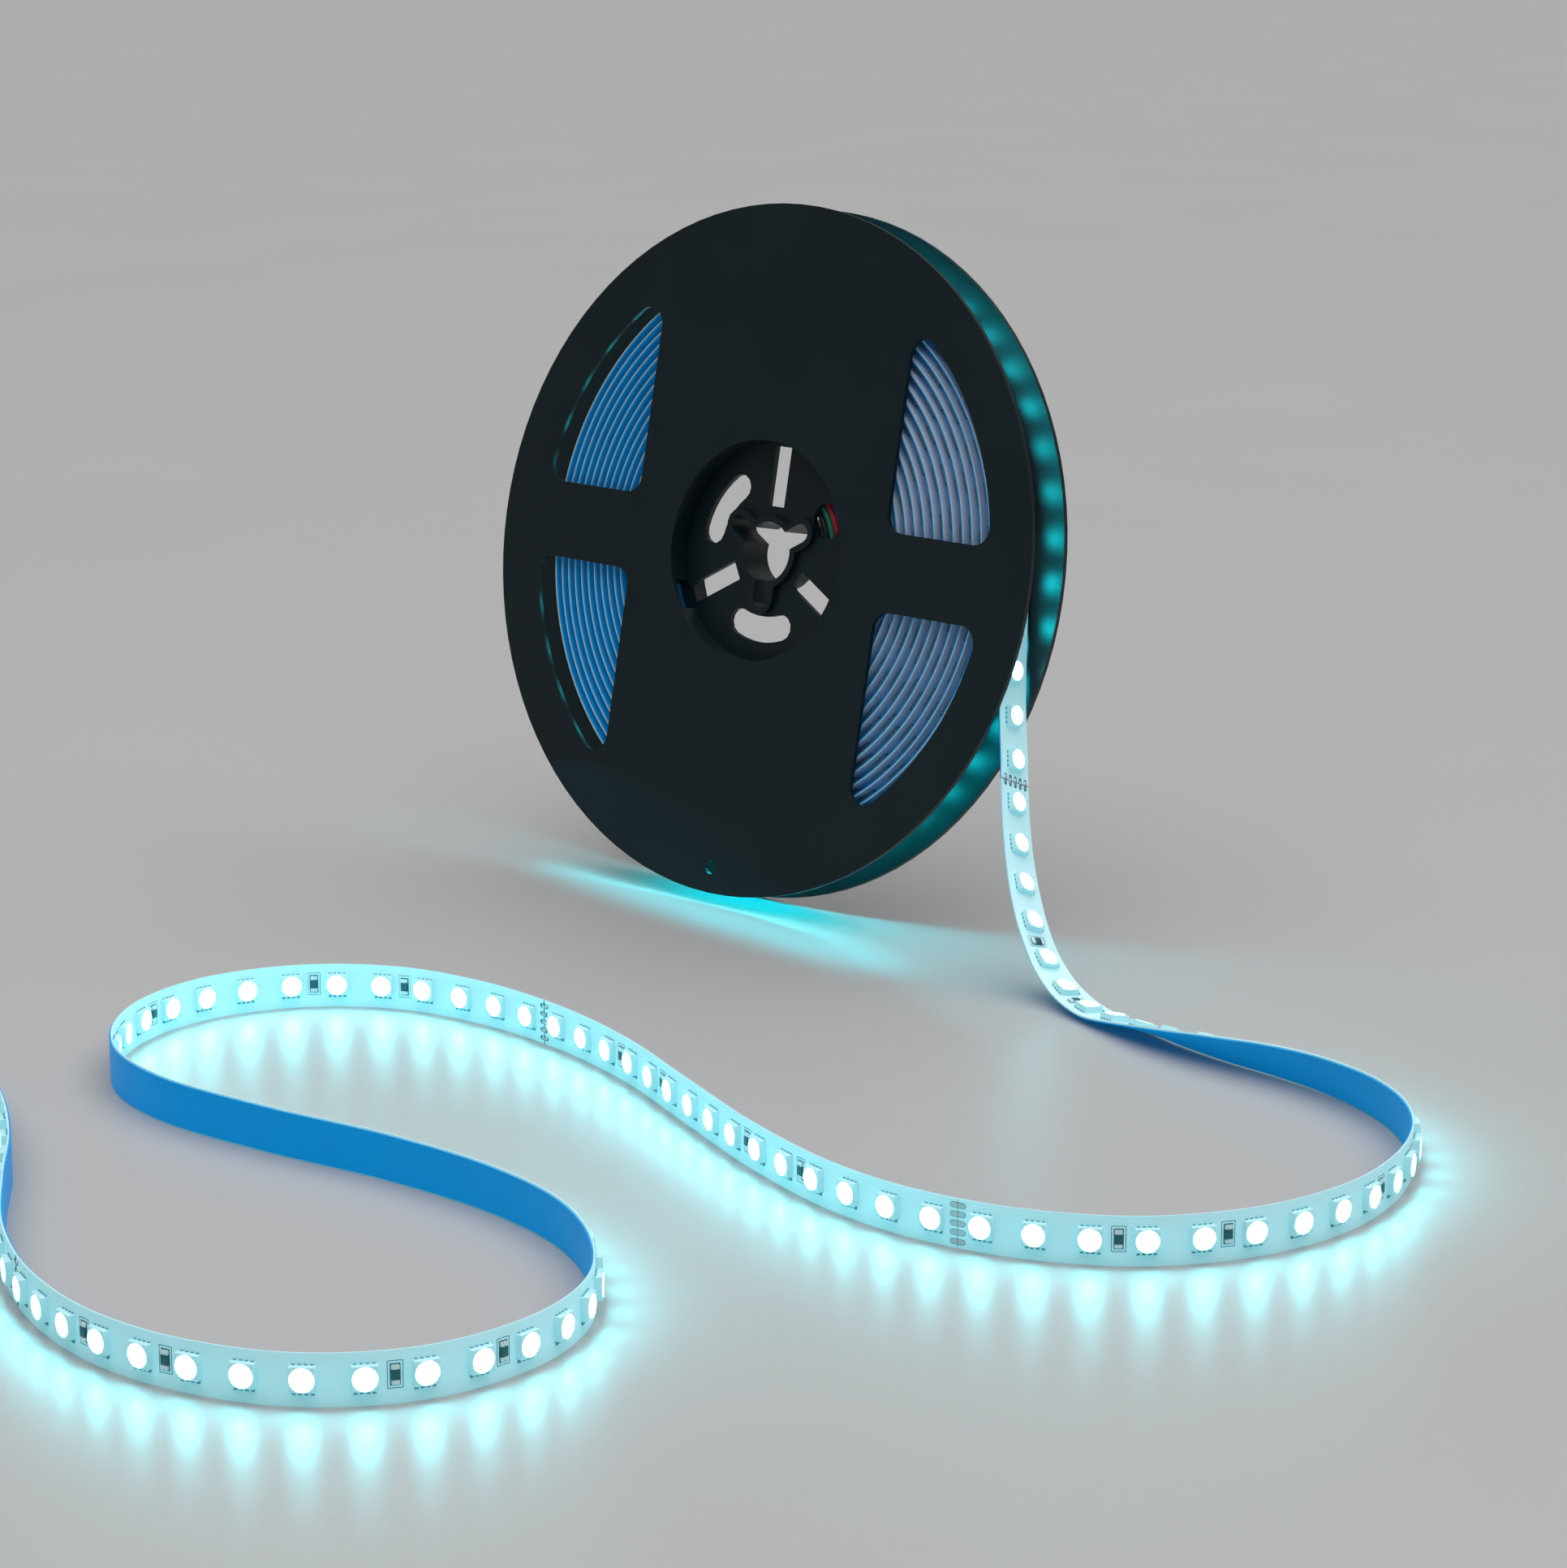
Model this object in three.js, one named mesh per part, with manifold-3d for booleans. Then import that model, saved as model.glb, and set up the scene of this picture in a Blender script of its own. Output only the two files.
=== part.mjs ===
// LED strip light reel: a black plastic reel of two halves that carries many turns of a
// flexible five-wire light strip. The last stretch has been pulled off: it hangs from the
// rim, lands on the floor, turns up onto its edge and winds away in three bends.
//
// Frame: millimetres, Z up, floor at Z = 0. The reel's axis points along Y, its open front
// towards -Y, and the reel leans back about X. The origin is the middle of the footprint.

import * as THREE from 'three';
import { mergeGeometries, mergeVertices } from 'three/addons/utils/BufferGeometryUtils.js';
import Module from 'manifold-3d';

const wasm = await Module();
wasm.setup();

// General clearances
const seatGap = 0.3;

// Reel flanges
const rimRadius = 89;
const reelWidth = 14.5;
const flangeThickness = 1.3;
const reelLean = THREE.MathUtils.degToRad(12);
const rimHoleRadius = 1.8;
const rimHoleOffset = 6.6;

// Flange windows: three-cornered, one in each quarter
const spineHalfWidth = 42;
const barHalfHeight = 10;
const windowRadius = 76;
const windowCorner = 4.5;

// Hub: the front collar plugs into the rear sleeve, and the web carries the arbor boss. Two
// of the web's kidney slots are long, and the third is a short hole that shows the leads
const hubOpeningRadius = 28.5;
const collarWall = 1.2;
const sleeveWall = 1.5;
const webThickness = 1.5;
const webSetback = 6.35;
const webSlotCount = 3;
const webSlotWidth = 5.2;
const webSlotInner = 11.8;
const webSlotEdge = 1.2;
const kidneyRadius = 20;
const kidneyHalfWidth = 3.35;
const kidneyHalfSweep = THREE.MathUtils.degToRad(20.5);
const leadHoleHalfWidth = 3.9;
const leadHoleHalfSweep = THREE.MathUtils.degToRad(2.5);

// Arbor bore with three keyways
const boreRadius = 7.8;
const bossWall = 1.6;
const bossRise = 1.5;
const keyHalfWidth = 2.4;
const keyTipRadius = 12.1;

// Slots through the hub wall: one shows the first turn, one lets the leads in
const wallSlotAngle = THREE.MathUtils.degToRad(-150);
const wallSlotHeight = 8.2;
const leadSlotWidth = 18;
const leadSlotDepth = 2.7;

// Light strip
const stripWidth = 10.5;
const boardThickness = 0.5;
const linerThickness = 0.2;
const linerGap = 0.2;
const linerInset = 0.25;
const ledPitch = 11.111;
const ledsPerCut = 15;
const cutsPerBoard = 3;
const ledSize = 5;
const ledHeight = 1.6;
const ledDrop = 0.5;
const resistorLength = 3.2;
const resistorWidth = 1.6;
const resistorHeight = 0.6;
const resistorsAfterLed = [4, 6, 10, 12];
const partSink = 0.35;

// Roll on the hub
const turnPitch = 2.8;
const rollClearance = 1.1;
const wholeTurns = 14;
const innerEndAngle = THREE.MathUtils.degToRad(80);
const looseTurns = 5;
const looseRise = 7.2;
const spiralStep = THREE.MathUtils.degToRad(9);
const rollStationStep = 10;

// Leads in the rear of the hub, from the innermost to the outermost
const leadDiameter = 1.7;
const leadSpacing = 1.8;
const leadEndAngle = THREE.MathUtils.degToRad(-15);
const leadFirstExit = THREE.MathUtils.degToRad(74);
const leadExitStep = THREE.MathUtils.degToRad(6.2);
const leads = [
  ['lead_black', 0x101012],
  ['lead_green', 0x12705f],
  ['lead_red', 0x9c0f1c],
  ['lead_blue', 0x1b3f9e],
  ['lead_white', 0xd8dadb],
];

// Values worked out from the driving dimensions
const frontFace = -reelWidth / 2;
const rearFace = reelWidth / 2;
const frontInner = frontFace + flangeThickness;
const rearInner = rearFace - flangeThickness;
const collarOuter = hubOpeningRadius + collarWall;
const sleeveInner = collarOuter + seatGap;
const sleeveOuter = sleeveInner + sleeveWall;
const webFront = frontFace + webSetback;
const webRear = webFront + webThickness;
const leadInnerRadius = keyTipRadius + keyHalfWidth + bossWall + seatGap + leadDiameter / 2;
const stackThickness = boardThickness + linerGap + linerThickness;
const rollInnerRadius = sleeveOuter + rollClearance;
const turning = wholeTurns * 2 * Math.PI + innerEndAngle;
const reelCentreHeight = rimRadius * Math.cos(reelLean) + rearFace * Math.sin(reelLean);
const boardLength = ledPitch * ledsPerCut * cutsPerBoard;

// Route of the pulled-off strip, from the reel to its cut end, through the middle of the
// board. Places on the floor are counted in LED pitches, x from where the strip leaves the
// roll and y from the reel's middle, and heights are shares of the reel's centre height. Stand
// is how far the strip has been turned from the reel's lean up onto its edge: 90 is upright, a
// little under zero lies flat. A stop without a height stands on the floor.
const freeRoute = [
  { x: 0.223, y: -0.342, z: 0.8017, stand: 0 },
  { x: 0.394, y: -0.549, z: 0.6797, stand: 0 },
  { x: 0.673, y: -0.828, z: 0.5601, stand: 0 },
  { x: 1.024, y: -1.224, z: 0.4471, stand: 0 },
  { x: 1.492, y: -1.692, z: 0.3421, stand: 0 },
  { x: 2.059, y: -2.178, z: 0.2462, stand: -3 },
  { x: 2.725, y: -2.664, z: 0.1581, stand: -6 },
  { x: 3.364, y: -2.97, z: 0.0836, stand: -9 },
  { x: 4.192, y: -3.33, z: 0.035, stand: -11 },
  { x: 5.164, y: -3.708, z: 0.0158, stand: -9 },
  { x: 6.289, y: -4.086, z: 0.0237, stand: 3 },
  { x: 7.549, y: -4.464, stand: 21 },
  { x: 9.034, y: -4.698, stand: 39 },
  { x: 10.474, y: -4.788, stand: 54 },
  { x: 11.824, y: -4.986, stand: 65 },
  { x: 13.489, y: -5.58, stand: 77 },
  { x: 14.749, y: -6.462, stand: 86 },
  { x: 15.694, y: -7.614, stand: 90 },
  { x: 16.414, y: -9.225, stand: 90 },
  { x: 16.711, y: -11.25, stand: 90 },
  { x: 16.27, y: -13.374, stand: 90 },
  { x: 15.064, y: -15.156, stand: 90 },
  { x: 13.309, y: -16.254, stand: 90 },
  { x: 11.194, y: -16.74, stand: 90 },
  { x: 9.034, y: -16.632, stand: 90 },
  { x: 6.334, y: -15.84, stand: 90 },
  { x: 3.454, y: -14.616, stand: 90 },
  { x: 0.754, y: -13.446, stand: 90 },
  { x: -1.766, y: -12.735, stand: 90 },
  { x: -4.286, y: -12.51, stand: 90 },
  { x: -6.446, y: -12.906, stand: 90 },
  { x: -8.066, y: -14.13, stand: 90 },
  { x: -8.921, y: -16.02, stand: 90 },
  { x: -8.786, y: -17.91, stand: 90 },
  { x: -7.886, y: -19.53, stand: 90 },
  { x: -6.446, y: -20.7, stand: 90 },
  { x: -4.466, y: -21.285, stand: 90 },
  { x: -1.586, y: -21.222, stand: 90 },
  { x: 1.654, y: -20.844, stand: 90 },
  { x: 4.354, y: -20.88, stand: 90 },
  { x: 6.514, y: -21.384, stand: 90 },
  { x: 8.314, y: -22.455, stand: 90 },
  { x: 9.664, y: -23.94, stand: 90 },
  { x: 10.258, y: -25.83, stand: 90 },
  { x: 9.934, y: -27.99, stand: 90 },
  { x: 8.674, y: -29.574, stand: 90 },
  { x: 6.784, y: -30.438, stand: 90 },
  { x: 4.534, y: -30.6, stand: 90 },
  { x: 2.194, y: -30.006, stand: 90 },
  { x: 0.034, y: -28.836, stand: 90 },
  { x: -2.126, y: -27.09, stand: 90 },
  { x: -4.106, y: -25.335, stand: 90 },
  { x: -6.266, y: -23.85, stand: 90 },
  { x: -8.786, y: -22.68, stand: 90 },
  { x: -11.666, y: -21.87, stand: 90 },
  { x: -14.546, y: -21.285, stand: 90 },
];

const plastic = { color: 0x16191b, roughness: 0.55, metalness: 0 };
const boardFinish = { color: 0xd3e6ec, roughness: 0.5, metalness: 0 };
const linerFinish = { color: 0x0a6fb5, roughness: 0.4, metalness: 0 };

// Solids: a closed mesh goes in, and a geometry with one clean skin comes out

function toSolid(geometry) {
  const bare = geometry.index ? geometry.toNonIndexed() : geometry.clone();
  bare.deleteAttribute('normal');
  bare.deleteAttribute('uv');
  const welded = mergeVertices(bare, 1e-4);
  return new wasm.Manifold(new wasm.Mesh({
    numProp: 3,
    vertProperties: new Float32Array(welded.attributes.position.array),
    triVerts: new Uint32Array(welded.index.array),
  }));
}

function toGeometry(solid) {
  const mesh = solid.getMesh();
  const geometry = new THREE.BufferGeometry();
  geometry.setAttribute('position', new THREE.BufferAttribute(mesh.vertProperties, 3));
  geometry.setIndex(new THREE.BufferAttribute(mesh.triVerts, 1));
  geometry.computeVertexNormals();
  return geometry;
}

function namedMesh(name, geometry, finish) {
  const mesh = new THREE.Mesh(geometry, new THREE.MeshStandardMaterial(finish));
  mesh.name = name;
  return mesh;
}

// Outlines in the reel's plane, where X is across and the second axis is up

function arc(centreX, centreY, radius, from, to, steps) {
  return Array.from({ length: steps + 1 }, (_, i) => {
    const angle = from + (to - from) * i / steps;
    return new THREE.Vector2(centreX + radius * Math.cos(angle), centreY + radius * Math.sin(angle));
  });
}

function circle(centreX, centreY, radius, steps) {
  return arc(centreX, centreY, radius, 0, 2 * Math.PI * (1 - 1 / steps), steps - 1);
}

function plate(outline, holes, from, to) {
  const shape = new THREE.Shape(outline);
  shape.holes = holes.map((points) => new THREE.Path(points));
  const geometry = new THREE.ExtrudeGeometry(shape, { depth: to - from, bevelEnabled: false });
  geometry.rotateX(Math.PI / 2);
  geometry.translate(0, to, 0);
  return geometry;
}

function ring(innerRadius, outerRadius, from, to, steps) {
  const section = [
    new THREE.Vector2(innerRadius, from),
    new THREE.Vector2(outerRadius, from),
    new THREE.Vector2(outerRadius, to),
    new THREE.Vector2(innerRadius, to),
    new THREE.Vector2(innerRadius, from),
  ];
  return new THREE.LatheGeometry(section, steps);
}

function windowOutline(signX, signY) {
  const reach = windowRadius - windowCorner;
  const sideX = spineHalfWidth + windowCorner;
  const barY = barHalfHeight + windowCorner;
  const topY = Math.sqrt(reach ** 2 - sideX ** 2);
  const outX = Math.sqrt(reach ** 2 - barY ** 2);
  const topAngle = Math.atan2(topY, sideX);
  const outAngle = Math.atan2(barY, outX);
  const points = [
    ...arc(sideX, topY, windowCorner, Math.PI, topAngle, 6),
    ...arc(0, 0, windowRadius, topAngle, outAngle, 12).slice(1, -1),
    ...arc(outX, barY, windowCorner, outAngle, -Math.PI / 2, 6),
    ...arc(sideX, barY, windowCorner, -Math.PI / 2, -Math.PI, 5),
  ];
  return points.map((p) => new THREE.Vector2(p.x * signX, p.y * signY));
}

function keyedOutline(radius, halfWidth) {
  const points = [];
  for (let key = 0; key < webSlotCount; key += 1) {
    const angle = -Math.PI / 2 + key * 2 * Math.PI / webSlotCount;
    const across = new THREE.Vector2(-Math.sin(angle), Math.cos(angle));
    const tip = new THREE.Vector2(Math.cos(angle), Math.sin(angle)).multiplyScalar(keyTipRadius);
    const root = Math.asin(halfWidth / radius);
    const nextRoot = angle + 2 * Math.PI / webSlotCount - root;
    points.push(...arc(tip.x, tip.y, halfWidth, angle - Math.PI / 2, angle + Math.PI / 2, 6));
    points.push(...arc(0, 0, radius, angle + root, nextRoot, 8));
  }
  return points;
}

function kidneyOutline(angle, halfWidth, halfSweep) {
  const from = angle - halfSweep;
  const to = angle + halfSweep;
  const end = new THREE.Vector2(Math.cos(to), Math.sin(to)).multiplyScalar(kidneyRadius);
  const start = new THREE.Vector2(Math.cos(from), Math.sin(from)).multiplyScalar(kidneyRadius);
  return [
    ...arc(0, 0, kidneyRadius + halfWidth, from, to, 6),
    ...arc(end.x, end.y, halfWidth, to, to + Math.PI, 6).slice(1, -1),
    ...arc(0, 0, kidneyRadius - halfWidth, to, from, 5),
    ...arc(start.x, start.y, halfWidth, from - Math.PI, from, 6).slice(1, -1),
  ];
}

function radialSlotOutline(angle) {
  const along = new THREE.Vector2(Math.cos(angle), Math.sin(angle));
  const across = new THREE.Vector2(-along.y, along.x);
  const corner = (reach, side) => along.clone().multiplyScalar(reach)
    .addScaledVector(across, side * webSlotWidth / 2);
  const outer = hubOpeningRadius - webSlotEdge;
  return [corner(webSlotInner, -1), corner(outer, -1), corner(outer, 1), corner(webSlotInner, 1)];
}

// Reel halves

function flange(from, to, openingRadius) {
  const windows = [[1, 1], [-1, 1], [-1, -1], [1, -1]].map(([x, y]) => windowOutline(x, y));
  const opening = circle(0, 0, openingRadius, 64);
  const rimHole = circle(0, rimHoleOffset - rimRadius, rimHoleRadius, 12);
  return plate(circle(0, 0, rimRadius, 96), [opening, rimHole, ...windows], from, to);
}

function hubWallCutter(angle, height, from, to) {
  const cutter = new THREE.BoxGeometry(sleeveOuter - hubOpeningRadius + 4, to - from, height);
  cutter.translate((sleeveOuter + hubOpeningRadius) / 2, (from + to) / 2, 0);
  cutter.rotateY(-angle);
  return toSolid(cutter);
}

function frontReelHalf() {
  const collarEnd = webFront - seatGap;
  const collar = ring(hubOpeningRadius, collarOuter, frontFace + flangeThickness / 2, collarEnd, 64);
  const half = toSolid(flange(frontFace, frontInner, hubOpeningRadius))
    .add(toSolid(collar))
    .subtract(hubWallCutter(wallSlotAngle, wallSlotHeight, frontInner, webFront));
  return toGeometry(half);
}

function rearReelHalf() {
  const angles = Array.from({ length: webSlotCount }, (_, i) => Math.PI / 2 + i * 2 * Math.PI / webSlotCount);
  const slots = angles.map((angle) => radialSlotOutline(angle));
  const between = angles.map((angle) => angle + Math.PI / webSlotCount);
  const leadHole = kidneyOutline(between.pop(), leadHoleHalfWidth, leadHoleHalfSweep);
  const kidneys = between.map((angle) => kidneyOutline(angle, kidneyHalfWidth, kidneyHalfSweep));
  const webEdge = circle(0, 0, sleeveInner + sleeveWall / 2, 64);
  const web = plate(webEdge, [...slots, ...kidneys, leadHole], webFront, webRear);
  const bossOutline = keyedOutline(boreRadius + bossWall, keyHalfWidth + bossWall);
  const boss = plate(bossOutline, [], webFront - bossRise, rearFace);
  const bore = plate(keyedOutline(boreRadius, keyHalfWidth), [], frontFace, rearFace + bossRise);
  const sleeve = ring(sleeveInner, sleeveOuter, frontInner + seatGap, rearInner + flangeThickness / 2, 64);
  const leadSlotMiddle = leadFirstExit - leadExitStep * (leads.length - 1) / 2;
  const half = toSolid(flange(rearInner, rearFace, sleeveInner))
    .add(toSolid(sleeve))
    .add(toSolid(web))
    .add(toSolid(boss))
    .subtract(toSolid(bore))
    .subtract(hubWallCutter(wallSlotAngle, wallSlotHeight, frontInner, webFront))
    .subtract(hubWallCutter(leadSlotMiddle, leadSlotWidth, webRear, webRear + leadSlotDepth));
  return toGeometry(half);
}

function leadGeometry(index) {
  const radius = leadInnerRadius + index * leadSpacing;
  const exit = leadFirstExit - index * leadExitStep;
  const depth = webRear + seatGap + leadDiameter / 2;
  const bend = leadSpacing / radius;
  const at = (reach, angle) => new THREE.Vector3(reach * Math.cos(angle), depth, reach * Math.sin(angle));
  const arcSteps = 7;
  const points = Array.from({ length: arcSteps + 1 }, (_, i) => (
    at(radius, leadEndAngle + (exit - bend - leadEndAngle) * i / arcSteps)
  ));
  points.push(at(radius + leadSpacing / 2, exit - bend / 6));
  points.push(at(rollInnerRadius - stackThickness - 2 * seatGap, exit));
  const path = new THREE.CatmullRomCurve3(points, false, 'centripetal');
  const section = new THREE.Shape(circle(0, 0, leadDiameter / 2, 8));
  return new THREE.ExtrudeGeometry(section, { extrudePath: path, steps: 16, bevelEnabled: false });
}

// Centre line of the whole strip, from its inner end on the hub to its cut end

function reelToWorld(point) {
  return point.applyAxisAngle(new THREE.Vector3(1, 0, 0), -reelLean)
    .add(new THREE.Vector3(0, 0, reelCentreHeight));
}

// The outer turns have sprung loose towards the side where the strip leaves
function rollRadius(angle) {
  const looseSweep = looseTurns * 2 * Math.PI;
  const loosened = THREE.MathUtils.smoothstep(looseSweep - angle, 0, looseSweep);
  const slack = looseRise * loosened * (1 + Math.cos(angle)) / 2;
  return rollInnerRadius + turnPitch * (turning - angle) / (2 * Math.PI) + slack;
}

function rollPoints() {
  const steps = Math.round(turning / spiralStep);
  return Array.from({ length: steps + 1 }, (_, i) => {
    const angle = turning * (1 - i / steps);
    const radius = rollRadius(angle);
    return reelToWorld(new THREE.Vector3(radius * Math.cos(angle), 0, radius * Math.sin(angle)));
  });
}

function freePoints() {
  const leaveX = rollRadius(0);
  return freeRoute.map(({ x, y, z, stand }) => {
    const slope = reelLean + (Math.PI / 2 - reelLean) * stand / 90;
    const rise = Math.sin(slope) * stripWidth / 2 + Math.cos(slope) * (stackThickness - boardThickness / 2);
    const height = z === undefined ? rise : z * reelCentreHeight;
    return new THREE.Vector3(leaveX + x * ledPitch, y * ledPitch, height);
  });
}

const rollPath = rollPoints();
const centreLine = new THREE.CatmullRomCurve3([...rollPath, ...freePoints()], false, 'centripetal');
const lineSamples = 12000;
const lineLengths = centreLine.getLengths(lineSamples);
const lineLength = lineLengths[lineSamples];
centreLine.arcLengthDivisions = lineSamples;

function lengthAtPoint(index) {
  const sample = Math.round(index / (rollPath.length + freeRoute.length - 1) * lineSamples);
  return lineLengths[sample];
}

// The first factory joint hangs a short way below the point where the strip leaves the rim
const jointAfterRim = 29;
const firstJoint = lengthAtPoint(rollPath.length) + jointAfterRim;
const lastRollLed = Math.floor(rollRadius(0) * 2 * Math.PI / ledPitch);

function standAngle(length) {
  const first = rollPath.length;
  const t = centreLine.getUtoTmapping(length / lineLength) * (rollPath.length + freeRoute.length - 1);
  const position = THREE.MathUtils.clamp(t - first, 0, freeRoute.length - 1);
  const before = Math.floor(position);
  const after = Math.min(before + 1, freeRoute.length - 1);
  const blend = position - before;
  return THREE.MathUtils.degToRad(freeRoute[before].stand * (1 - blend) + freeRoute[after].stand * blend);
}

// A station is a place along the strip with its directions: along, up its width and out
// of its lit face

function stationAt(length) {
  const at = THREE.MathUtils.clamp(length / lineLength, 0, 1);
  const along = centreLine.getTangentAt(at);
  const stand = standAngle(length);
  const reelFront = new THREE.Vector3(0, -Math.cos(reelLean), Math.sin(reelLean));
  const flat = reelFront.addScaledVector(along, -reelFront.dot(along)).normalize();
  const face = new THREE.Vector3().crossVectors(flat, along);
  const upright = new THREE.Vector3(0, 0, 1).addScaledVector(along, -along.z).normalize();
  const turn = Math.atan2(upright.dot(face), upright.dot(flat));
  const across = flat.applyAxisAngle(along, -turn * stand / (Math.PI / 2));
  const out = new THREE.Vector3().crossVectors(across, along);
  return { point: centreLine.getPointAt(at), along, across, out };
}

// A ribbon's front and back faces split each twisted panel along the same diagonal, so its
// thickness stays even and two ribbons laid together keep their gap
function ribbonGeometry(lengths, width, back, front) {
  const positions = [];
  const indices = [];
  const corners = [[-1, back], [1, back], [1, front], [-1, front]];
  for (const length of lengths) {
    const { point, across, out } = stationAt(length);
    for (const [side, height] of corners) {
      const corner = point.clone().addScaledVector(across, side * width / 2).addScaledVector(out, height);
      positions.push(corner.x, corner.y, corner.z);
    }
  }
  for (let i = 0; i + 1 < lengths.length; i += 1) {
    for (let side = 0; side < 4; side += 1) {
      const a = i * 4 + side;
      const b = i * 4 + (side + 1) % 4;
      if (side === 2) indices.push(a, a + 4, b + 4, a, b + 4, b);
      else indices.push(a, a + 4, b, b, a + 4, b + 4);
    }
  }
  const end = (lengths.length - 1) * 4;
  indices.push(0, 1, 2, 0, 2, 3, end, end + 2, end + 1, end, end + 3, end + 2);
  const geometry = new THREE.BufferGeometry();
  geometry.setAttribute('position', new THREE.Float32BufferAttribute(positions, 3));
  geometry.setIndex(indices);
  return geometry;
}

function cutLengths(from, to) {
  const lengths = [from];
  const first = Math.ceil((from - firstJoint) / ledPitch * 2 + 0.5);
  for (let half = first; ; half += 1) {
    const length = firstJoint + (half - 0.5) * ledPitch / 2;
    if (length > to - ledPitch / 8) break;
    if (length > from + ledPitch / 8) lengths.push(length);
  }
  lengths.push(to);
  return lengths;
}

function componentBox(length, alongSize, acrossSize, height, shift) {
  const before = stationAt(length - ledPitch / 4).point;
  const after = stationAt(length + ledPitch / 4).point;
  const { across } = stationAt(length);
  const along = after.clone().sub(before).normalize();
  const level = across.addScaledVector(along, -across.dot(along)).normalize();
  const out = new THREE.Vector3().crossVectors(level, along);
  const box = new THREE.BoxGeometry(acrossSize, alongSize, height + partSink);
  const lift = boardThickness / 2 + (height - partSink) / 2;
  const centre = before.add(after).multiplyScalar(0.5)
    .addScaledVector(level, -shift)
    .addScaledVector(out, lift);
  const basis = new THREE.Matrix4().makeBasis(level, along, out).setPosition(centre);
  return box.applyMatrix4(basis);
}

function boardComponents(fromLed, toLed) {
  const boxes = [];
  for (let led = fromLed; led < toLed; led += 1) {
    const place = ((led % ledsPerCut) + ledsPerCut) % ledsPerCut + 1;
    const length = firstJoint + (led + 0.5) * ledPitch;
    boxes.push(componentBox(length, ledSize, ledSize, ledHeight, ledDrop));
    if (resistorsAfterLed.includes(place)) {
      boxes.push(componentBox(length + ledPitch / 2, resistorWidth, resistorLength, resistorHeight, ledDrop));
    }
  }
  return boxes;
}

function populatedBoard(ribbon, fromLed, toLed) {
  const components = mergeGeometries(boardComponents(fromLed, toLed).map((box) => box.toNonIndexed()));
  return toGeometry(toSolid(ribbon).add(toSolid(components)));
}

function woundStrip() {
  const litFrom = firstJoint - (lastRollLed + 0.25) * ledPitch;
  const coiled = Math.floor(litFrom / rollStationStep);
  const lengths = Array.from({ length: coiled }, (_, i) => litFrom * i / coiled);
  lengths.push(...cutLengths(litFrom, firstJoint - seatGap / 2));
  const back = boardThickness / 2 - stackThickness;
  return populatedBoard(ribbonGeometry(lengths, stripWidth, back, boardThickness / 2), -lastRollLed, 0);
}

function stripBoard(index, cuts) {
  const from = firstJoint + index * boardLength;
  const to = from + cuts * ledsPerCut * ledPitch;
  const lengths = cutLengths(from + seatGap / 2, to - seatGap / 2);
  const ribbon = ribbonGeometry(lengths, stripWidth, -boardThickness / 2, boardThickness / 2);
  const firstLed = index * cutsPerBoard * ledsPerCut;
  return populatedBoard(ribbon, firstLed, firstLed + cuts * ledsPerCut);
}

function releaseLiner(cuts) {
  const lengths = cutLengths(firstJoint + seatGap / 2, firstJoint + cuts * ledsPerCut * ledPitch - seatGap / 2);
  const front = -boardThickness / 2 - linerGap;
  return toGeometry(toSolid(ribbonGeometry(lengths, stripWidth - 2 * linerInset, front - linerThickness, front)));
}

// Assembly

const reel = new THREE.Group();
reel.rotation.x = -reelLean;
reel.position.z = reelCentreHeight;
reel.add(namedMesh('rear_reel_half', rearReelHalf(), plastic));
reel.add(namedMesh('front_reel_half', frontReelHalf(), plastic));
leads.forEach(([name, color], index) => {
  reel.add(namedMesh(name, leadGeometry(index), { color, roughness: 0.45, metalness: 0 }));
});

const strip = new THREE.Group();
strip.add(namedMesh('wound_strip', woundStrip(), boardFinish));
const cutsOnBoards = [cutsPerBoard, cutsPerBoard, 1];
cutsOnBoards.forEach((cuts, index) => {
  strip.add(namedMesh(`strip_board_${index + 1}`, stripBoard(index, cuts), boardFinish));
});
const freeCuts = cutsOnBoards.reduce((sum, cuts) => sum + cuts, 0);
strip.add(namedMesh('release_liner', releaseLiner(freeCuts), linerFinish));

const part = new THREE.Group();
part.add(reel, strip);
part.updateMatrixWorld(true);
const footprint = new THREE.Box3().setFromObject(part, true);
const middle = footprint.getCenter(new THREE.Vector3());
part.position.set(-middle.x, -middle.y, -footprint.min.z);
part.updateMatrixWorld(true);

export default part;
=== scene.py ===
"""Looks of the LED strip light reel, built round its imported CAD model.

The reel is two black injection-moulded halves. On it lies a long flexible circuit with
LED packages on its face and a blue release liner on its back. A little over a metre has
been pulled off: it hangs from the rim, turns up onto its edge and winds over the floor, lit.

Every object is in metres, in the CAD model's frame. Lengths along the strip are in
millimetres, counted from the roll's inner end.
"""

from __future__ import annotations

import logging
import math
from dataclasses import dataclass, field
from enum import Enum
from typing import Iterable, Sequence

import bmesh
import bpy
import numpy as np
from mathutils import Matrix, Vector


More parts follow.
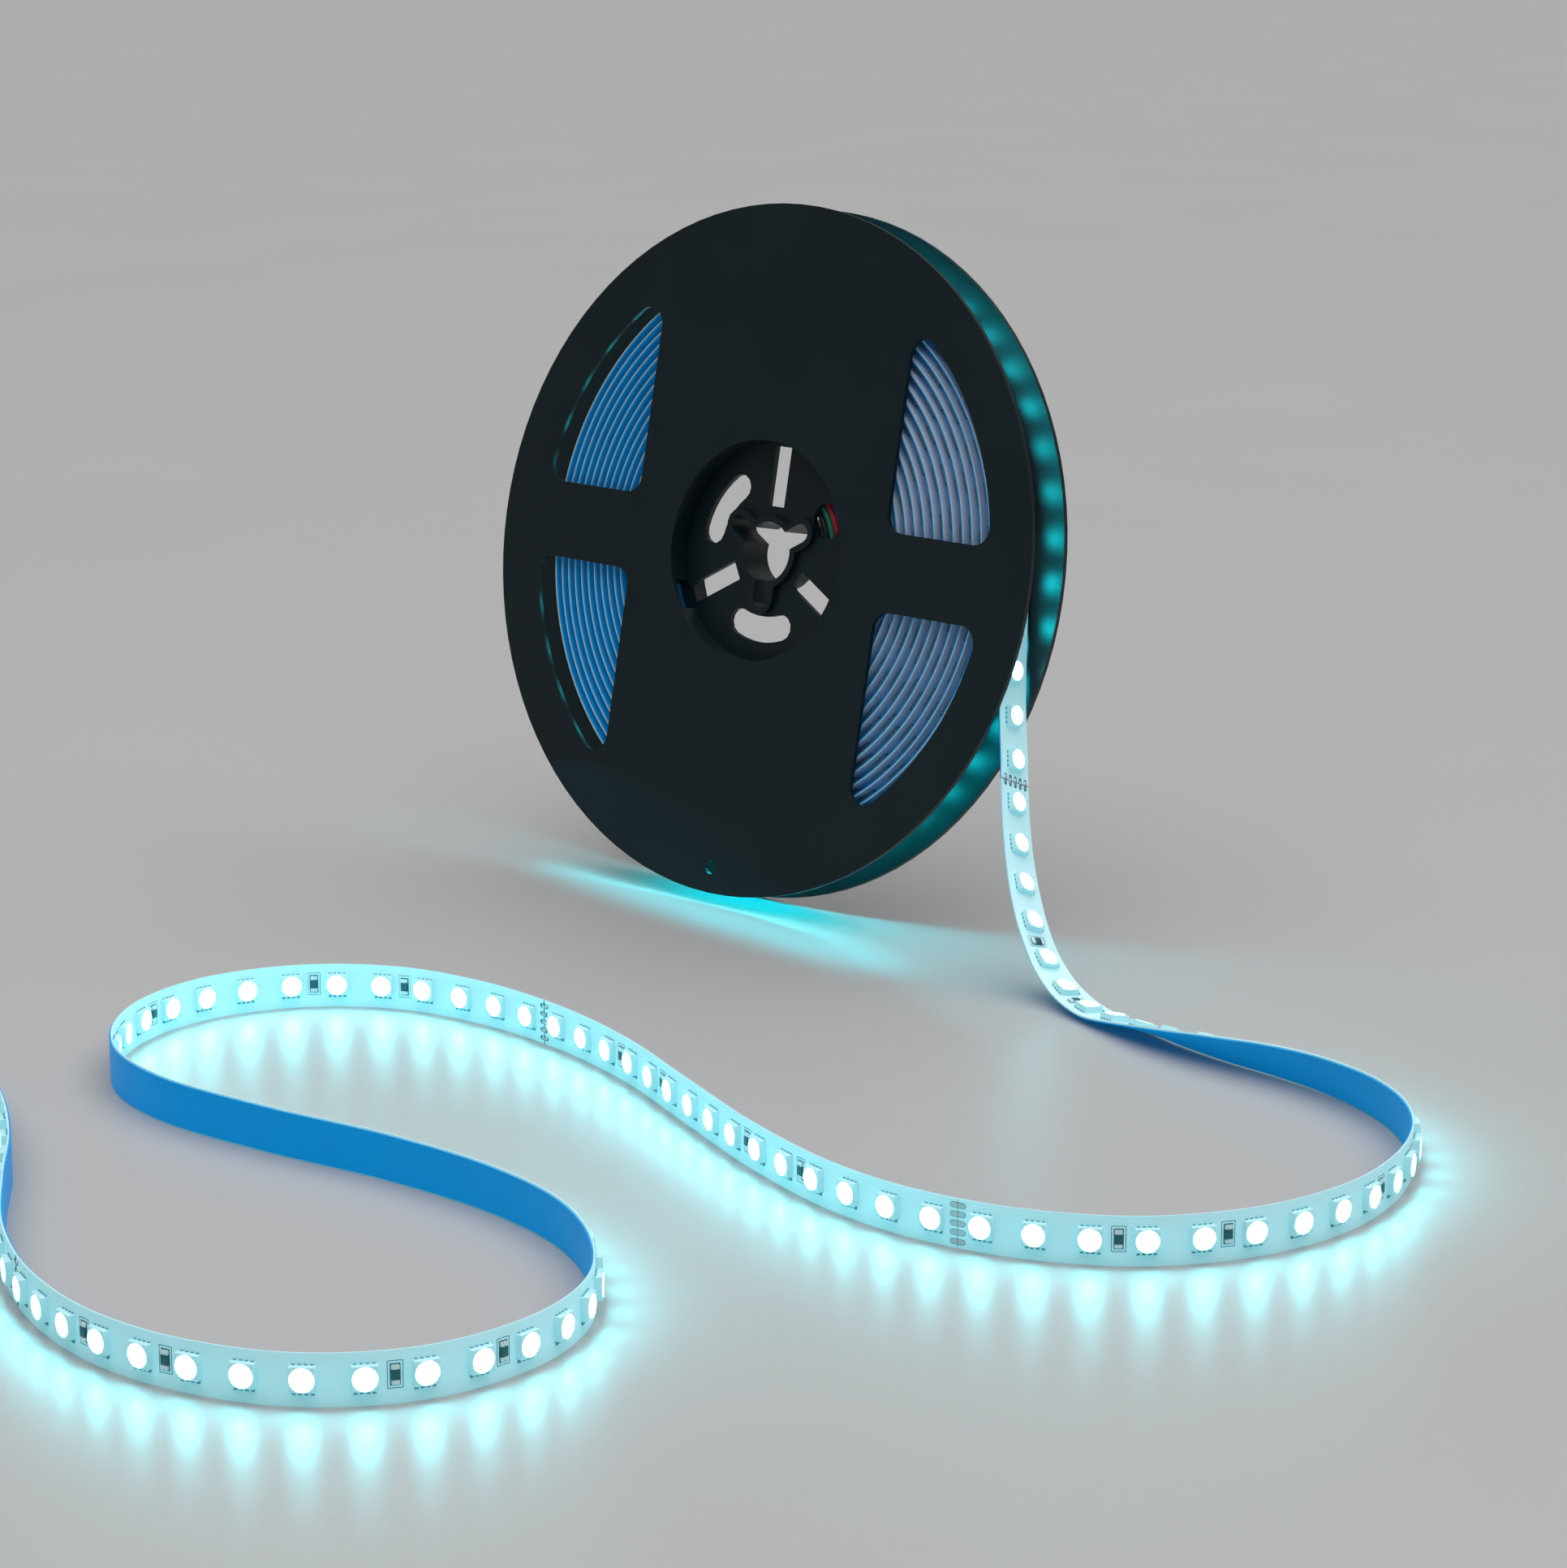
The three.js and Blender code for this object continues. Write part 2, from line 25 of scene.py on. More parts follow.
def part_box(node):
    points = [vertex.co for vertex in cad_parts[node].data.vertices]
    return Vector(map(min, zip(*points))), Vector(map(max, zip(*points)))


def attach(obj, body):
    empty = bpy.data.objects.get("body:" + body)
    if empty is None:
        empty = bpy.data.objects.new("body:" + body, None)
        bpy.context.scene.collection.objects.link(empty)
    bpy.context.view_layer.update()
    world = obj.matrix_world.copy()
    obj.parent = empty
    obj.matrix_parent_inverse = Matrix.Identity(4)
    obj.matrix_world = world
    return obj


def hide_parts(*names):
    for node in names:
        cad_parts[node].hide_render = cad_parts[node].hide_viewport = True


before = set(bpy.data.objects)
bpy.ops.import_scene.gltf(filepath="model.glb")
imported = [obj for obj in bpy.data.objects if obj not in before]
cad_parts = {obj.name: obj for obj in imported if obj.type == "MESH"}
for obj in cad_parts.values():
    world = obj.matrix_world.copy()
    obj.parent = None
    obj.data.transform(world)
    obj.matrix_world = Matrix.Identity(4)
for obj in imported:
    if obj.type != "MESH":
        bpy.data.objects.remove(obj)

LOG = logging.getLogger("led_strip_reel")
MM = 0.001
BODY = "root"
SHARP_ANGLE = math.radians(35)

# Between these two values lies nearly all of a noise pattern
NOISE_LOW, NOISE_HIGH = 0.3, 0.7


# Colours and shader nodes


def linear(hex_colour: str) -> tuple[float, float, float, float]:
    """Turn an sRGB hex colour into Blender's linear RGBA.

    Args:
        hex_colour: Six hex digits, with or without a leading hash.

    Returns:
        The linear red, green, blue and alpha.
    """
    digits = hex_colour.lstrip("#")
    channels = [int(digits[i : i + 2], 16) / 255 for i in (0, 2, 4)]
    values = [c / 12.92 if c <= 0.04045 else ((c + 0.055) / 1.055) ** 2.4 for c in channels]
    return (values[0], values[1], values[2], 1.0)


def add_node(tree: bpy.types.NodeTree, kind: str, settings: dict | None = None,
             values: dict | None = None, links: dict | None = None) -> bpy.types.Node:
    """Add a node with its settings, socket values and incoming links.

    Args:
        tree: The node tree that gets the node.
        kind: The node's Blender type name.
        settings: Attributes of the node, by name.
        values: Default values of input sockets, by name or index.
        links: Output sockets to join to this node's inputs, by name or index.

    Returns:
        The new node.
    """
    node = tree.nodes.new(kind)
    for name, value in (settings or {}).items():
        setattr(node, name, value)
    for name, value in (values or {}).items():
        node.inputs[name].default_value = value
    for name, source in (links or {}).items():
        tree.links.new(source, node.inputs[name])
    return node


@dataclass(frozen=True)
class Finish:
    """What every finish has: its name and the values that sit on the shader itself.

    Its roughness wanders a little over the surface, in so many patches a metre.
    """

    name: str
    colour: str
    roughness: float = 0.5
    metallic: float = 0.0
    ior: float = 1.5
    patches: float = 900.0
    wander: float = 0.06

    def build(self) -> bpy.types.Material:
        """Make the material, once.

        Returns:
            A material with its shader linked and the finish's detail added.
        """
        if self.name in bpy.data.materials:
            return bpy.data.materials[self.name]
        material = bpy.data.materials.new(self.name)
        material.use_nodes = True
        tree = material.node_tree
        tree.nodes.clear()
        shader = add_node(tree, "ShaderNodeBsdfPrincipled", values={
            "Base Color": linear(self.colour), "Roughness": self.roughness,
            "Metallic": self.metallic, "IOR": self.ior})
        add_node(tree, "ShaderNodeOutputMaterial", links={"Surface": shader.outputs["BSDF"]})
        self.dress(tree, shader)
        return material

    def dress(self, tree: bpy.types.NodeTree, shader: bpy.types.Node) -> None:
        """Add the finish's own detail; a plain finish adds a faint change of roughness."""
        self.mottle(tree, shader, self.patches)

    def mottle(self, tree: bpy.types.NodeTree, shader: bpy.types.Node, patches: float) -> None:
        """Let the roughness wander a little over the surface.

        Args:
            tree: The material's tree.
            shader: The shader that gets the roughness.
            patches: Patches for each metre.
        """
        place = add_node(tree, "ShaderNodeTexCoord")
        noise = add_node(tree, "ShaderNodeTexNoise", values={"Scale": patches, "Detail": 2.0},
                         links={"Vector": place.outputs["Object"]})
        low, high = self.roughness - self.wander, self.roughness + self.wander
        rough = add_node(tree, "ShaderNodeMapRange",
                         values={1: NOISE_LOW, 2: NOISE_HIGH, 3: low, 4: high},
                         links={"Value": noise.outputs["Fac"]})
        tree.links.new(rough.outputs["Result"], shader.inputs["Roughness"])

    def tint(self, tree: bpy.types.NodeTree, shader: bpy.types.Node, amount: bpy.types.NodeSocket,
             low: float, high: float) -> None:
        """Let the colour run from a darker to a lighter share of itself.

        Args:
            tree: The material's tree.
            shader: The shader that gets the colour.
            amount: Where between the two the colour lies.
            low: The darker share.
            high: The lighter share.
        """
        base = Vector(linear(self.colour)[:3])
        mix = add_node(tree, "ShaderNodeMix", {"data_type": "RGBA"},
                       values={6: (*(base * low), 1.0), 7: (*(base * high), 1.0)},
                       links={"Factor": amount})
        tree.links.new(mix.outputs[2], shader.inputs["Base Color"])


def add_bump(tree: bpy.types.NodeTree, shader: bpy.types.Node, height: bpy.types.NodeSocket,
             strength: float, depth_mm: float) -> None:
    """Raise a pattern on a shader's surface.

    Args:
        tree: The material's tree.
        shader: The shader that gets the bump.
        height: The pattern.
        strength: How much of the bump shows.
        depth_mm: The pattern's depth in millimetres.
    """
    bump = add_node(tree, "ShaderNodeBump", values={"Strength": strength, "Distance": depth_mm * MM},
                    links={"Height": height})
    tree.links.new(bump.outputs["Normal"], shader.inputs["Normal"])


def set_glow(shader: bpy.types.Node, colour: str, strength: float) -> None:
    """Let a shader give light of a colour."""
    shader.inputs["Emission Color"].default_value = linear(colour)
    shader.inputs["Emission Strength"].default_value = strength


@dataclass(frozen=True)
class MouldedPolystyrene(Finish):
    """Black high-impact polystyrene, injection moulded against a fine spark-eroded face.

    It gives broad soft highlights, a faint grain and slow flow marks.
    """

    grain_mm: float = 0.35
    grain_strength: float = 0.12
    grain_depth_mm: float = 0.04
    flow_mm: float = 28.0
    flow_tint: tuple[float, float] = (0.86, 1.16)
    flow_shine: tuple[float, float] = (-0.05, 0.07)
    gloss: float = 0.28

    def dress(self, tree: bpy.types.NodeTree, shader: bpy.types.Node) -> None:
        """Add the mould's grain as bump and its flow marks as a change of colour and gloss.

        Args:
            tree: The material's tree.
            shader: Its shader.
        """
        shader.inputs["Specular IOR Level"].default_value = self.gloss
        place = add_node(tree, "ShaderNodeTexCoord")
        grain = add_node(tree, "ShaderNodeTexNoise",
                         values={"Scale": 1000 / self.grain_mm, "Detail": 3.0},
                         links={"Vector": place.outputs["Object"]})
        flow = add_node(tree, "ShaderNodeTexNoise",
                        values={"Scale": 1000 / self.flow_mm, "Detail": 3.0, "Roughness": 0.55},
                        links={"Vector": place.outputs["Object"]})
        self.tint(tree, shader, flow.outputs["Fac"], *self.flow_tint)
        low, high = (self.roughness + change for change in self.flow_shine)
        shine = add_node(tree, "ShaderNodeMapRange",
                         values={1: NOISE_LOW, 2: NOISE_HIGH, 3: low, 4: high},
                         links={"Value": flow.outputs["Fac"]})
        tree.links.new(shine.outputs["Result"], shader.inputs["Roughness"])
        add_bump(tree, shader, grain.outputs["Fac"], self.grain_strength, self.grain_depth_mm)


@dataclass(frozen=True)
class CoatedFlexCircuit(Finish):
    """White solder mask on a flexible polyimide circuit.

    Fine copper lines along the strip, too fine to be told apart, give the coat a satin face
    and a slightly greyer tone. A painted glow over the whole face stands in for the LEDs'
    light that the coat carries sideways.
    """

    # Painted glow: an emission that stands in for the LEDs' light spread over the board's face
    glow: str = "#7fe8f4"
    painted_glow_strength: float = 0.0
    track: str = "#b7ccd2"
    tracks_per_mm: float = 14.0
    track_edge: tuple[float, float] = (0.40, 0.47)
    track_strength: float = 0.3
    track_depth_mm: float = 0.03

    def dress(self, tree: bpy.types.NodeTree, shader: bpy.types.Node) -> None:
        """Add the copper lines and the painted glow; U is along the strip and V across it.

        Args:
            tree: The material's tree.
            shader: Its shader.
        """
        place = add_node(tree, "ShaderNodeUVMap", {"uv_map": "strip"})
        split = add_node(tree, "ShaderNodeSeparateXYZ", links={"Vector": place.outputs["UV"]})
        lines = add_node(tree, "ShaderNodeMath", {"operation": "MULTIPLY"},
                         values={1: self.tracks_per_mm}, links={0: split.outputs["Y"]})
        wave = add_node(tree, "ShaderNodeMath", {"operation": "PINGPONG"}, values={1: 0.5},
                        links={0: lines.outputs["Value"]})
        near, far = self.track_edge
        edge = add_node(tree, "ShaderNodeMapRange", values={1: near, 2: far, 3: 0.0, 4: 1.0},
                        links={"Value": wave.outputs["Value"]})
        mix = add_node(tree, "ShaderNodeMix", {"data_type": "RGBA"},
                       values={6: linear(self.colour), 7: linear(self.track)},
                       links={"Factor": edge.outputs["Result"]})
        tree.links.new(mix.outputs[2], shader.inputs["Base Color"])
        add_bump(tree, shader, edge.outputs["Result"], self.track_strength, self.track_depth_mm)
        set_glow(shader, self.glow, self.painted_glow_strength)


@dataclass(frozen=True)
class SiliconeFilm(Finish):
    """Blue polyethylene release film with a silicone coat: smooth, with a low sheen.

    It is thin; a painted glow stands in for the board's light coming through it and deepens its blue.
    """

    # Painted glow: an emission that stands in for the board's light shining through the film
    glow: str = "#009ff0"
    painted_glow_strength: float = 0.0
    sheen: float = 0.12
    ripples_per_mm: float = 0.09
    ripple_tint: tuple[float, float] = (0.9, 1.1)

    def dress(self, tree: bpy.types.NodeTree, shader: bpy.types.Node) -> None:
        """Add the film's slow ripples along the strip, its low sheen and its painted glow.

        Args:
            tree: The material's tree.
            shader: Its shader.
        """
        shader.inputs["Specular IOR Level"].default_value = self.sheen
        set_glow(shader, self.glow, self.painted_glow_strength)
        place = add_node(tree, "ShaderNodeUVMap", {"uv_map": "strip"})
        ripple = add_node(tree, "ShaderNodeTexNoise",
                          values={"Scale": self.ripples_per_mm, "Detail": 2.0},
                          links={"Vector": place.outputs["UV"]})
        self.tint(tree, shader, ripple.outputs["Fac"], *self.ripple_tint)


@dataclass(frozen=True)
class LitPackagePart(Finish):
    """A part of a lit LED package: its phosphor-filled lens, or the white moulding round it with a
    painted glow.
    """

    patches: float = 700.0
    wander: float = 0.04
    strength: float = 1.0
    glow: str = "#66effa"

    def dress(self, tree: bpy.types.NodeTree, shader: bpy.types.Node) -> None:
        """Set the light that the part gives; on the white moulding this is a painted glow."""
        self.mottle(tree, shader, self.patches)
        set_glow(shader, self.glow, self.strength)


@dataclass(frozen=True)
class SolderedTin(Finish):
    """Tinned copper and solder: a bright metal, dulled and uneven where it was reflowed."""

    wander: float = 0.12
    ripple_mm: float = 0.9
    ripple_strength: float = 0.5
    ripple_depth_mm: float = 0.1

    def dress(self, tree: bpy.types.NodeTree, shader: bpy.types.Node) -> None:
        """Add the solder's uneven skin as bump and roughness.

        Args:
            tree: The material's tree.
            shader: Its shader.
        """
        ripples = 1000 / self.ripple_mm
        self.mottle(tree, shader, ripples)
        place = add_node(tree, "ShaderNodeTexCoord")
        skin = add_node(tree, "ShaderNodeTexNoise", values={"Scale": ripples},
                        links={"Vector": place.outputs["Object"]})
        add_bump(tree, shader, skin.outputs["Fac"], self.ripple_strength, self.ripple_depth_mm)


@dataclass(frozen=True)
class DrawnVinyl(Finish):
    """Extruded vinyl insulation: glossy, with a faint waviness of its gloss."""

    wander: float = 0.08
    wave_mm: float = 0.5

    def dress(self, tree: bpy.types.NodeTree, shader: bpy.types.Node) -> None:
        """Add the waviness that drawing leaves."""
        self.mottle(tree, shader, 1000 / self.wave_mm)


@dataclass(frozen=True)
class SatinBackdrop(Finish):
    """A pale even sheet with a satin face, so lights on it leave long soft streaks."""

    patches: float = 9.0
    wander: float = 0.01


# Every finish on the object
REEL_BLACK = MouldedPolystyrene("black_moulded_polystyrene", "#04181d", roughness=0.42, ior=1.59)
# The lit board carries a painted glow, standing in for the LEDs' light on its face
BOARD_PAINTED_GLOW = CoatedFlexCircuit("white_solder_mask_painted_glow", "#cbdfe3", roughness=0.42, glow="#6fe6f6",
                              painted_glow_strength=0.29)
BOARD_ROLLED = CoatedFlexCircuit("white_solder_mask_rolled", "#c9d6e2", roughness=0.45)
# Both films carry a painted glow for the board's light through them, weaker in the roll
FILM_LOOSE = SiliconeFilm("blue_release_film", "#008ccd", roughness=0.42, painted_glow_strength=0.25)
FILM_ROLLED = SiliconeFilm("blue_release_film_rolled", "#0092dc", roughness=0.38,
                           painted_glow_strength=0.06)
# Painted light: a lighter cyan base and a glow stand in for the lenses' light on the moulding
HOUSING_PAINTED_GLOW = LitPackagePart("white_polyphthalamide_painted_glow", "#b4d6dc", roughness=0.4, ior=1.55,
                             strength=0.22, glow="#8beefa")
HOUSING_IN_ROLL = Finish("white_polyphthalamide", "#9fb4ba", roughness=0.4, ior=1.55)
LENS_LIT = LitPackagePart("silicone_lens_lit", "#f4ffff", roughness=0.25, ior=1.43, strength=31.0)
LENS_HANGING = LitPackagePart("silicone_lens_lit_hanging", "#f4ffff", roughness=0.25, ior=1.43,
                              strength=13.0)
LENS_IN_ROLL = LitPackagePart("silicone_lens_lit_in_roll", "#f4ffff", roughness=0.25, ior=1.43,
                              strength=52.0, glow="#08edf9")
LENS_FAR_SIDE = LitPackagePart("silicone_lens_lit_on_far_side", "#f4ffff", roughness=0.25,
                               ior=1.43, strength=14.0, glow="#08edf9")
LENS_DARK = Finish("silicone_lens_unlit", "#5f7486", roughness=0.3, ior=1.43)
# Painted light: the tin is teal, standing in for the LEDs' cyan light and the shade along the package's
# sides
TIN_LEG_PAINTED_TEAL = SolderedTin("tinned_leg", "#5a9fa9", roughness=0.45, metallic=0.3)
# Partly the tin's own pale colour, partly painted light: near-white and little metal, so the caps look
# lit whatever they reflect
TIN_CAP_PAINTED_LIGHT = SolderedTin("tinned_end_cap", "#dceaec", roughness=0.35, metallic=0.35)
TIN = SolderedTin("tinned_copper", "#b9c9cd", roughness=0.34, metallic=1.0)
# Painted light: the black body is coloured teal, standing in for the LEDs' cyan light on it
RESISTOR_BLACK_PAINTED_TEAL = Finish("thick_film_resistor", "#0a5b66", roughness=0.35, ior=1.5)
SILK_INK = Finish("screen_printed_ink", "#1d7784", roughness=0.6, ior=1.5)
PAD_TIN = SolderedTin("tinned_cut_pad", "#b4cfd4", roughness=0.5, metallic=0.2)


class Lead(Enum):
    """The five leads by their colour, each with its insulation's sRGB value."""

    BLACK = "#141517"
    GREEN = "#0f7a63"
    RED = "#b3121f"
    BLUE = "#2146a8"
    WHITE = "#dfe2e2"

    @property
    def node(self) -> str:
        """Name of the lead's CAD node."""
        return f"lead_{self.name.lower()}"


# Small mesh helpers


def new_object(name: str, mesh: bpy.types.Mesh, *materials: bpy.types.Material) -> bpy.types.Object:
    """Link a mesh into the scene as an object with its materials.

    Args:
        name: The object's name.
        mesh: Its mesh, already in place.
        materials: Its materials, in slot order.

    Returns:
        The object.
    """
    mesh.name = name
    for material in materials:
        mesh.materials.append(material)
    piece = bpy.data.objects.new(name, mesh)
    bpy.context.scene.collection.objects.link(piece)
    return piece


def smooth_by_angle(mesh: bpy.types.Mesh) -> None:
    """Shade a mesh smooth except over its sharp edges."""
    mesh.shade_smooth()
    mesh.set_sharp_from_angle(angle=SHARP_ANGLE)


def finished_mesh(shape: bmesh.types.BMesh, name: str) -> bpy.types.Mesh:
    """Write a shape to a mesh of its own.

    Args:
        shape: The shape, which is freed.
        name: The mesh's name.

    Returns:
        The mesh, shaded smooth except over its sharp edges.
    """
    mesh = bpy.data.meshes.new(name)
    shape.to_mesh(mesh)
    shape.free()
    smooth_by_angle(mesh)
    return mesh


def settle(piece: bpy.types.Object) -> None:
    """Turn what a piece's modifiers make into its plain mesh.

    Args:
        piece: The piece, whose modifiers are removed.
    """
    graph = bpy.context.evaluated_depsgraph_get()
    done = bpy.data.meshes.new_from_object(piece.evaluated_get(graph))
    piece.modifiers.clear()
    piece.data = done


# The strip's centre line


@dataclass
class StripRoute:
    """The middle of the board's width, from the roll's inner end to the strip's cut end.

    Sizes are in millimetres. The stops of the loose stretch are the CAD model's, each with its
    place from the reel's centre, its height over the floor if it doesn't stand there, and how
    far it has turned up onto its edge. The roll lies between the CAD model's hub and its
    outermost turn, with more and closer turns than the solid has.
    """

    reel_centre: Vector
    reel_lean: float = math.radians(12)
    rim_radius: float = 89.0
    roll_radius: float = 32.6
    turn_pitch: float = 2.312
    whole_turns: int = 17
    inner_end: float = math.radians(80)
    loose_turns: int = 15
    loose_rise: float = 7.2
    spiral_step: float = math.radians(9)
    strip_width: float = 10.5
    stack: float = 0.9
    board: float = 0.5
    led_pitch: float = 11.111
    joint_after_rim: float = 29.0
    samples_per_span: int = 60
    tangent_reach: float = 0.6
    stops: Sequence[tuple[float, float, float | None, float]] = (
        (82.1, -3.8, 71.0, 0), (84.0, -6.1, 60.2, 0), (87.1, -9.2, 49.6, 0), (91.0, -13.6, 39.6, 0),
        (96.2, -18.8, 30.3, 0), (102.5, -24.2, 21.8, -3), (109.9, -29.6, 14.0, -6),
        (117.0, -33.0, 7.4, -9), (126.2, -37.0, 3.1, -11), (137.0, -41.2, 1.4, -9),
        (149.5, -45.4, 2.1, 3), (163.5, -49.6, None, 21), (180, -52.2, None, 39),
        (196, -53.2, None, 54), (211, -55.4, None, 65), (229.5, -62.0, None, 77),
        (243.5, -71.8, None, 86), (254, -84.6, None, 90), (262, -102.5, None, 90),
        (265.3, -125, None, 90), (260.4, -148.6, None, 90), (247, -168.4, None, 90),
        (227.5, -180.6, None, 90), (204, -186, None, 90), (180, -184.8, None, 90),
        (150, -176, None, 90), (118, -162.4, None, 90), (88, -149.4, None, 90),
        (60, -141.5, None, 90), (32, -139, None, 90), (8, -143.4, None, 90),
        (-10, -157, None, 90), (-19.5, -178, None, 90), (-18, -199, None, 90),
        (-8, -217, None, 90), (8, -230, None, 90), (30, -236.5, None, 90),
        (62, -235.8, None, 90), (98, -231.6, None, 90), (128, -232, None, 90),
        (152, -237.6, None, 90), (172, -249.5, None, 90), (187, -266, None, 90),
        (193.6, -287, None, 90), (190, -311, None, 90), (176, -328.6, None, 90),
        (155, -338.2, None, 90), (130, -340, None, 90), (104, -333.4, None, 90),
        (80, -320.4, None, 90), (56, -301, None, 90), (34, -281.5, None, 90),
        (10, -265, None, 90), (-18, -252, None, 90), (-50, -243, None, 90),
        (-82, -236.5, None, 90),
    )
    line: np.ndarray = field(init=False)
    lengths: np.ndarray = field(init=False)
    stands: np.ndarray = field(init=False)
    first_joint: float = field(init=False)

    def __post_init__(self) -> None:
        """Sample the centre line once, with its length and standing angle at each sample."""
        roll = self._roll_points()
        loose = [self._free_point(stop) for stop in self.stops]
        points = np.array(roll + loose)
        stand_at = np.array([0.0] * len(roll) + [stop[3] for stop in self.stops])
        self.line = self._catmull_rom(points)
        steps = np.linalg.norm(np.diff(self.line, axis=0), axis=1)
        self.lengths = np.concatenate([[0.0], np.cumsum(steps)])
        knots = np.arange(len(points))
        where = np.linspace(0, len(points) - 1, len(self.line))
        self.stands = np.interp(where, knots, stand_at)
        self.first_joint = self.lengths[len(roll) * self.samples_per_span] + self.joint_after_rim

    def _roll_points(self) -> list[np.ndarray]:
        """Wind the roll from its inner end, with its outer turns loose on one side.

        Returns:
            The roll's points, in millimetres from the reel's centre.
        """
        turning = self.whole_turns * 2 * math.pi + self.inner_end
        steps = round(turning / self.spiral_step)
        points = []
        for i in range(steps + 1):
            angle = turning * (1 - i / steps)
            loose = min(max(1 - angle / (self.loose_turns * 2 * math.pi), 0), 1)
            slack = self.loose_rise * loose * loose * (3 - 2 * loose) * (1 + math.cos(angle)) / 2
            radius = self.roll_radius + self.turn_pitch * (turning - angle) / (2 * math.pi) + slack
            points.append(self.from_reel(radius * math.cos(angle), 0.0, radius * math.sin(angle)))
        return points

    def from_reel(self, x: float, y: float, z: float) -> np.ndarray:
        """Take a point of the reel's own upright frame to millimetres from the reel's centre."""
        lean_cos, lean_sin = math.cos(self.reel_lean), math.sin(self.reel_lean)
        return np.array([x, y * lean_cos + z * lean_sin, z * lean_cos - y * lean_sin])

    def _free_point(self, stop: tuple[float, float, float | None, float]) -> np.ndarray:
        """Place a stop of the loose stretch.

        Args:
            stop: Its x and y, its height if it doesn't stand on the floor, and its
                standing angle.

        Returns:
            The point, in millimetres from the reel's centre.
        """
        x, y, z, stand = stop
        slope = self.reel_lean + (math.pi / 2 - self.reel_lean) * stand / 90
        if z is None:
            z = math.sin(slope) * self.strip_width / 2
            z += math.cos(slope) * (self.stack - self.board / 2)
        return np.array([x, y, z - self.reel_centre.z / MM])

    def _catmull_rom(self, points: np.ndarray) -> np.ndarray:
        """Sample a centripetal Catmull-Rom curve through the points.

        Args:
            points: The curve's points, one a row.

        Returns:
            The samples, the same number in every span.
        """
        first = 2 * points[0] - points[1]
        last = 2 * points[-1] - points[-2]
        padded = np.vstack([first, points, last])
        weights = np.linspace(0, 1, self.samples_per_span, endpoint=False)[:, None]
        samples = []
        for i in range(len(points) - 1):
            p0, p1, p2, p3 = padded[i : i + 4]
            d0, d1, d2 = (math.sqrt(np.linalg.norm(b - a)) for a, b in ((p0, p1), (p1, p2), (p2, p3)))
            t1 = ((p1 - p0) / d0 - (p2 - p0) / (d0 + d1) + (p2 - p1) / d1) * d1
            t2 = ((p2 - p1) / d1 - (p3 - p1) / (d1 + d2) + (p3 - p2) / d2) * d1
            c2 = -3 * p1 + 3 * p2 - 2 * t1 - t2
            c3 = 2 * p1 - 2 * p2 + t1 + t2
            samples.append(p1 + t1 * weights + c2 * weights**2 + c3 * weights**3)
        samples.append(points[-1:])
        return np.vstack(samples)

    def _point_at(self, lengths: np.ndarray) -> np.ndarray:
        """Points of the centre line at some lengths, one a row."""
        columns = [np.interp(lengths, self.lengths, self.line[:, i]) for i in range(3)]
        return np.stack(columns, axis=1)

    def stations(self, lengths: np.ndarray) -> tuple[np.ndarray, np.ndarray, np.ndarray, np.ndarray]:
        """Places and directions along the strip.

        Args:
            lengths: Distances from the roll's inner end, in millimetres.

        Returns:
            The middle of the board's thickness in metres, and the unit directions along
            the strip, up its width and out of its lit face, one row for each length.
        """
        point = self._point_at(lengths)
        along = (self._point_at(lengths + self.tangent_reach)
                 - self._point_at(lengths - self.tangent_reach))
        along /= np.linalg.norm(along, axis=1)[:, None]
        stand = np.radians(np.interp(lengths, self.lengths, self.stands))
        front = np.array([0, -math.cos(self.reel_lean), math.sin(self.reel_lean)])
        flat = front - along * (along @ front)[:, None]
        flat /= np.linalg.norm(flat, axis=1)[:, None]
        face = np.cross(flat, along)
        upright = np.array([0, 0, 1.0]) - along * along[:, 2:3]
        turn = np.arctan2((upright * face).sum(1), (upright * flat).sum(1))
        angle = turn * stand / (math.pi / 2)
        across = flat * np.cos(angle)[:, None] + face * np.sin(angle)[:, None]
        out = np.cross(across, along)
        return point * MM + np.array(self.reel_centre), along, across, out

    def ribbon(self, name: str, lengths: np.ndarray, low: float, high: float, back: float,
               front: float) -> bpy.types.Mesh:
        """Loft a closed band along the strip.

        Args:
            name: The mesh's name.
            lengths: Distances of its cross sections, in millimetres.
            low: Its lower edge across the width, in millimetres from the middle.
            high: Its upper edge.
            back: Its back face out of the board's middle, in millimetres.
            front: Its front face.

        Returns:
            The mesh, with a UV map that holds millimetres along and across.
        """
        point, along, across, out = self.stations(lengths)
        corners = [(low, back), (high, back), (high, front), (low, front)]
        rows = [point + across * side * MM + out * lift * MM for side, lift in corners]
        vertices = np.stack(rows, axis=1).reshape(-1, 3)
        faces = []
        sheet = []
        for i in range(len(lengths) - 1):
            for side in range(4):
                after = (side + 1) % 4
                faces.append((i * 4 + side, i * 4 + 4 + side, i * 4 + 4 + after, i * 4 + after))
                widths = (corners[side][0], corners[side][0], corners[after][0], corners[after][0])
                runs = (lengths[i], lengths[i + 1], lengths[i + 1], lengths[i])
                sheet.extend(zip(runs, widths))
        end = (len(lengths) - 1) * 4
        faces.append((0, 1, 2, 3))
        faces.append((end + 3, end + 2, end + 1, end))
        sheet.extend([(0, 0)] * 8)
        mesh = bpy.data.meshes.new(name)
        mesh.from_pydata([tuple(v) for v in vertices], [], faces)
        layer = mesh.uv_layers.new(name="strip")
        layer.data.foreach_set("uv", np.array(sheet, dtype=np.float32).ravel())
        mesh.validate()
        smooth_by_angle(mesh)
        return mesh


# Parts set out by Geometry Nodes


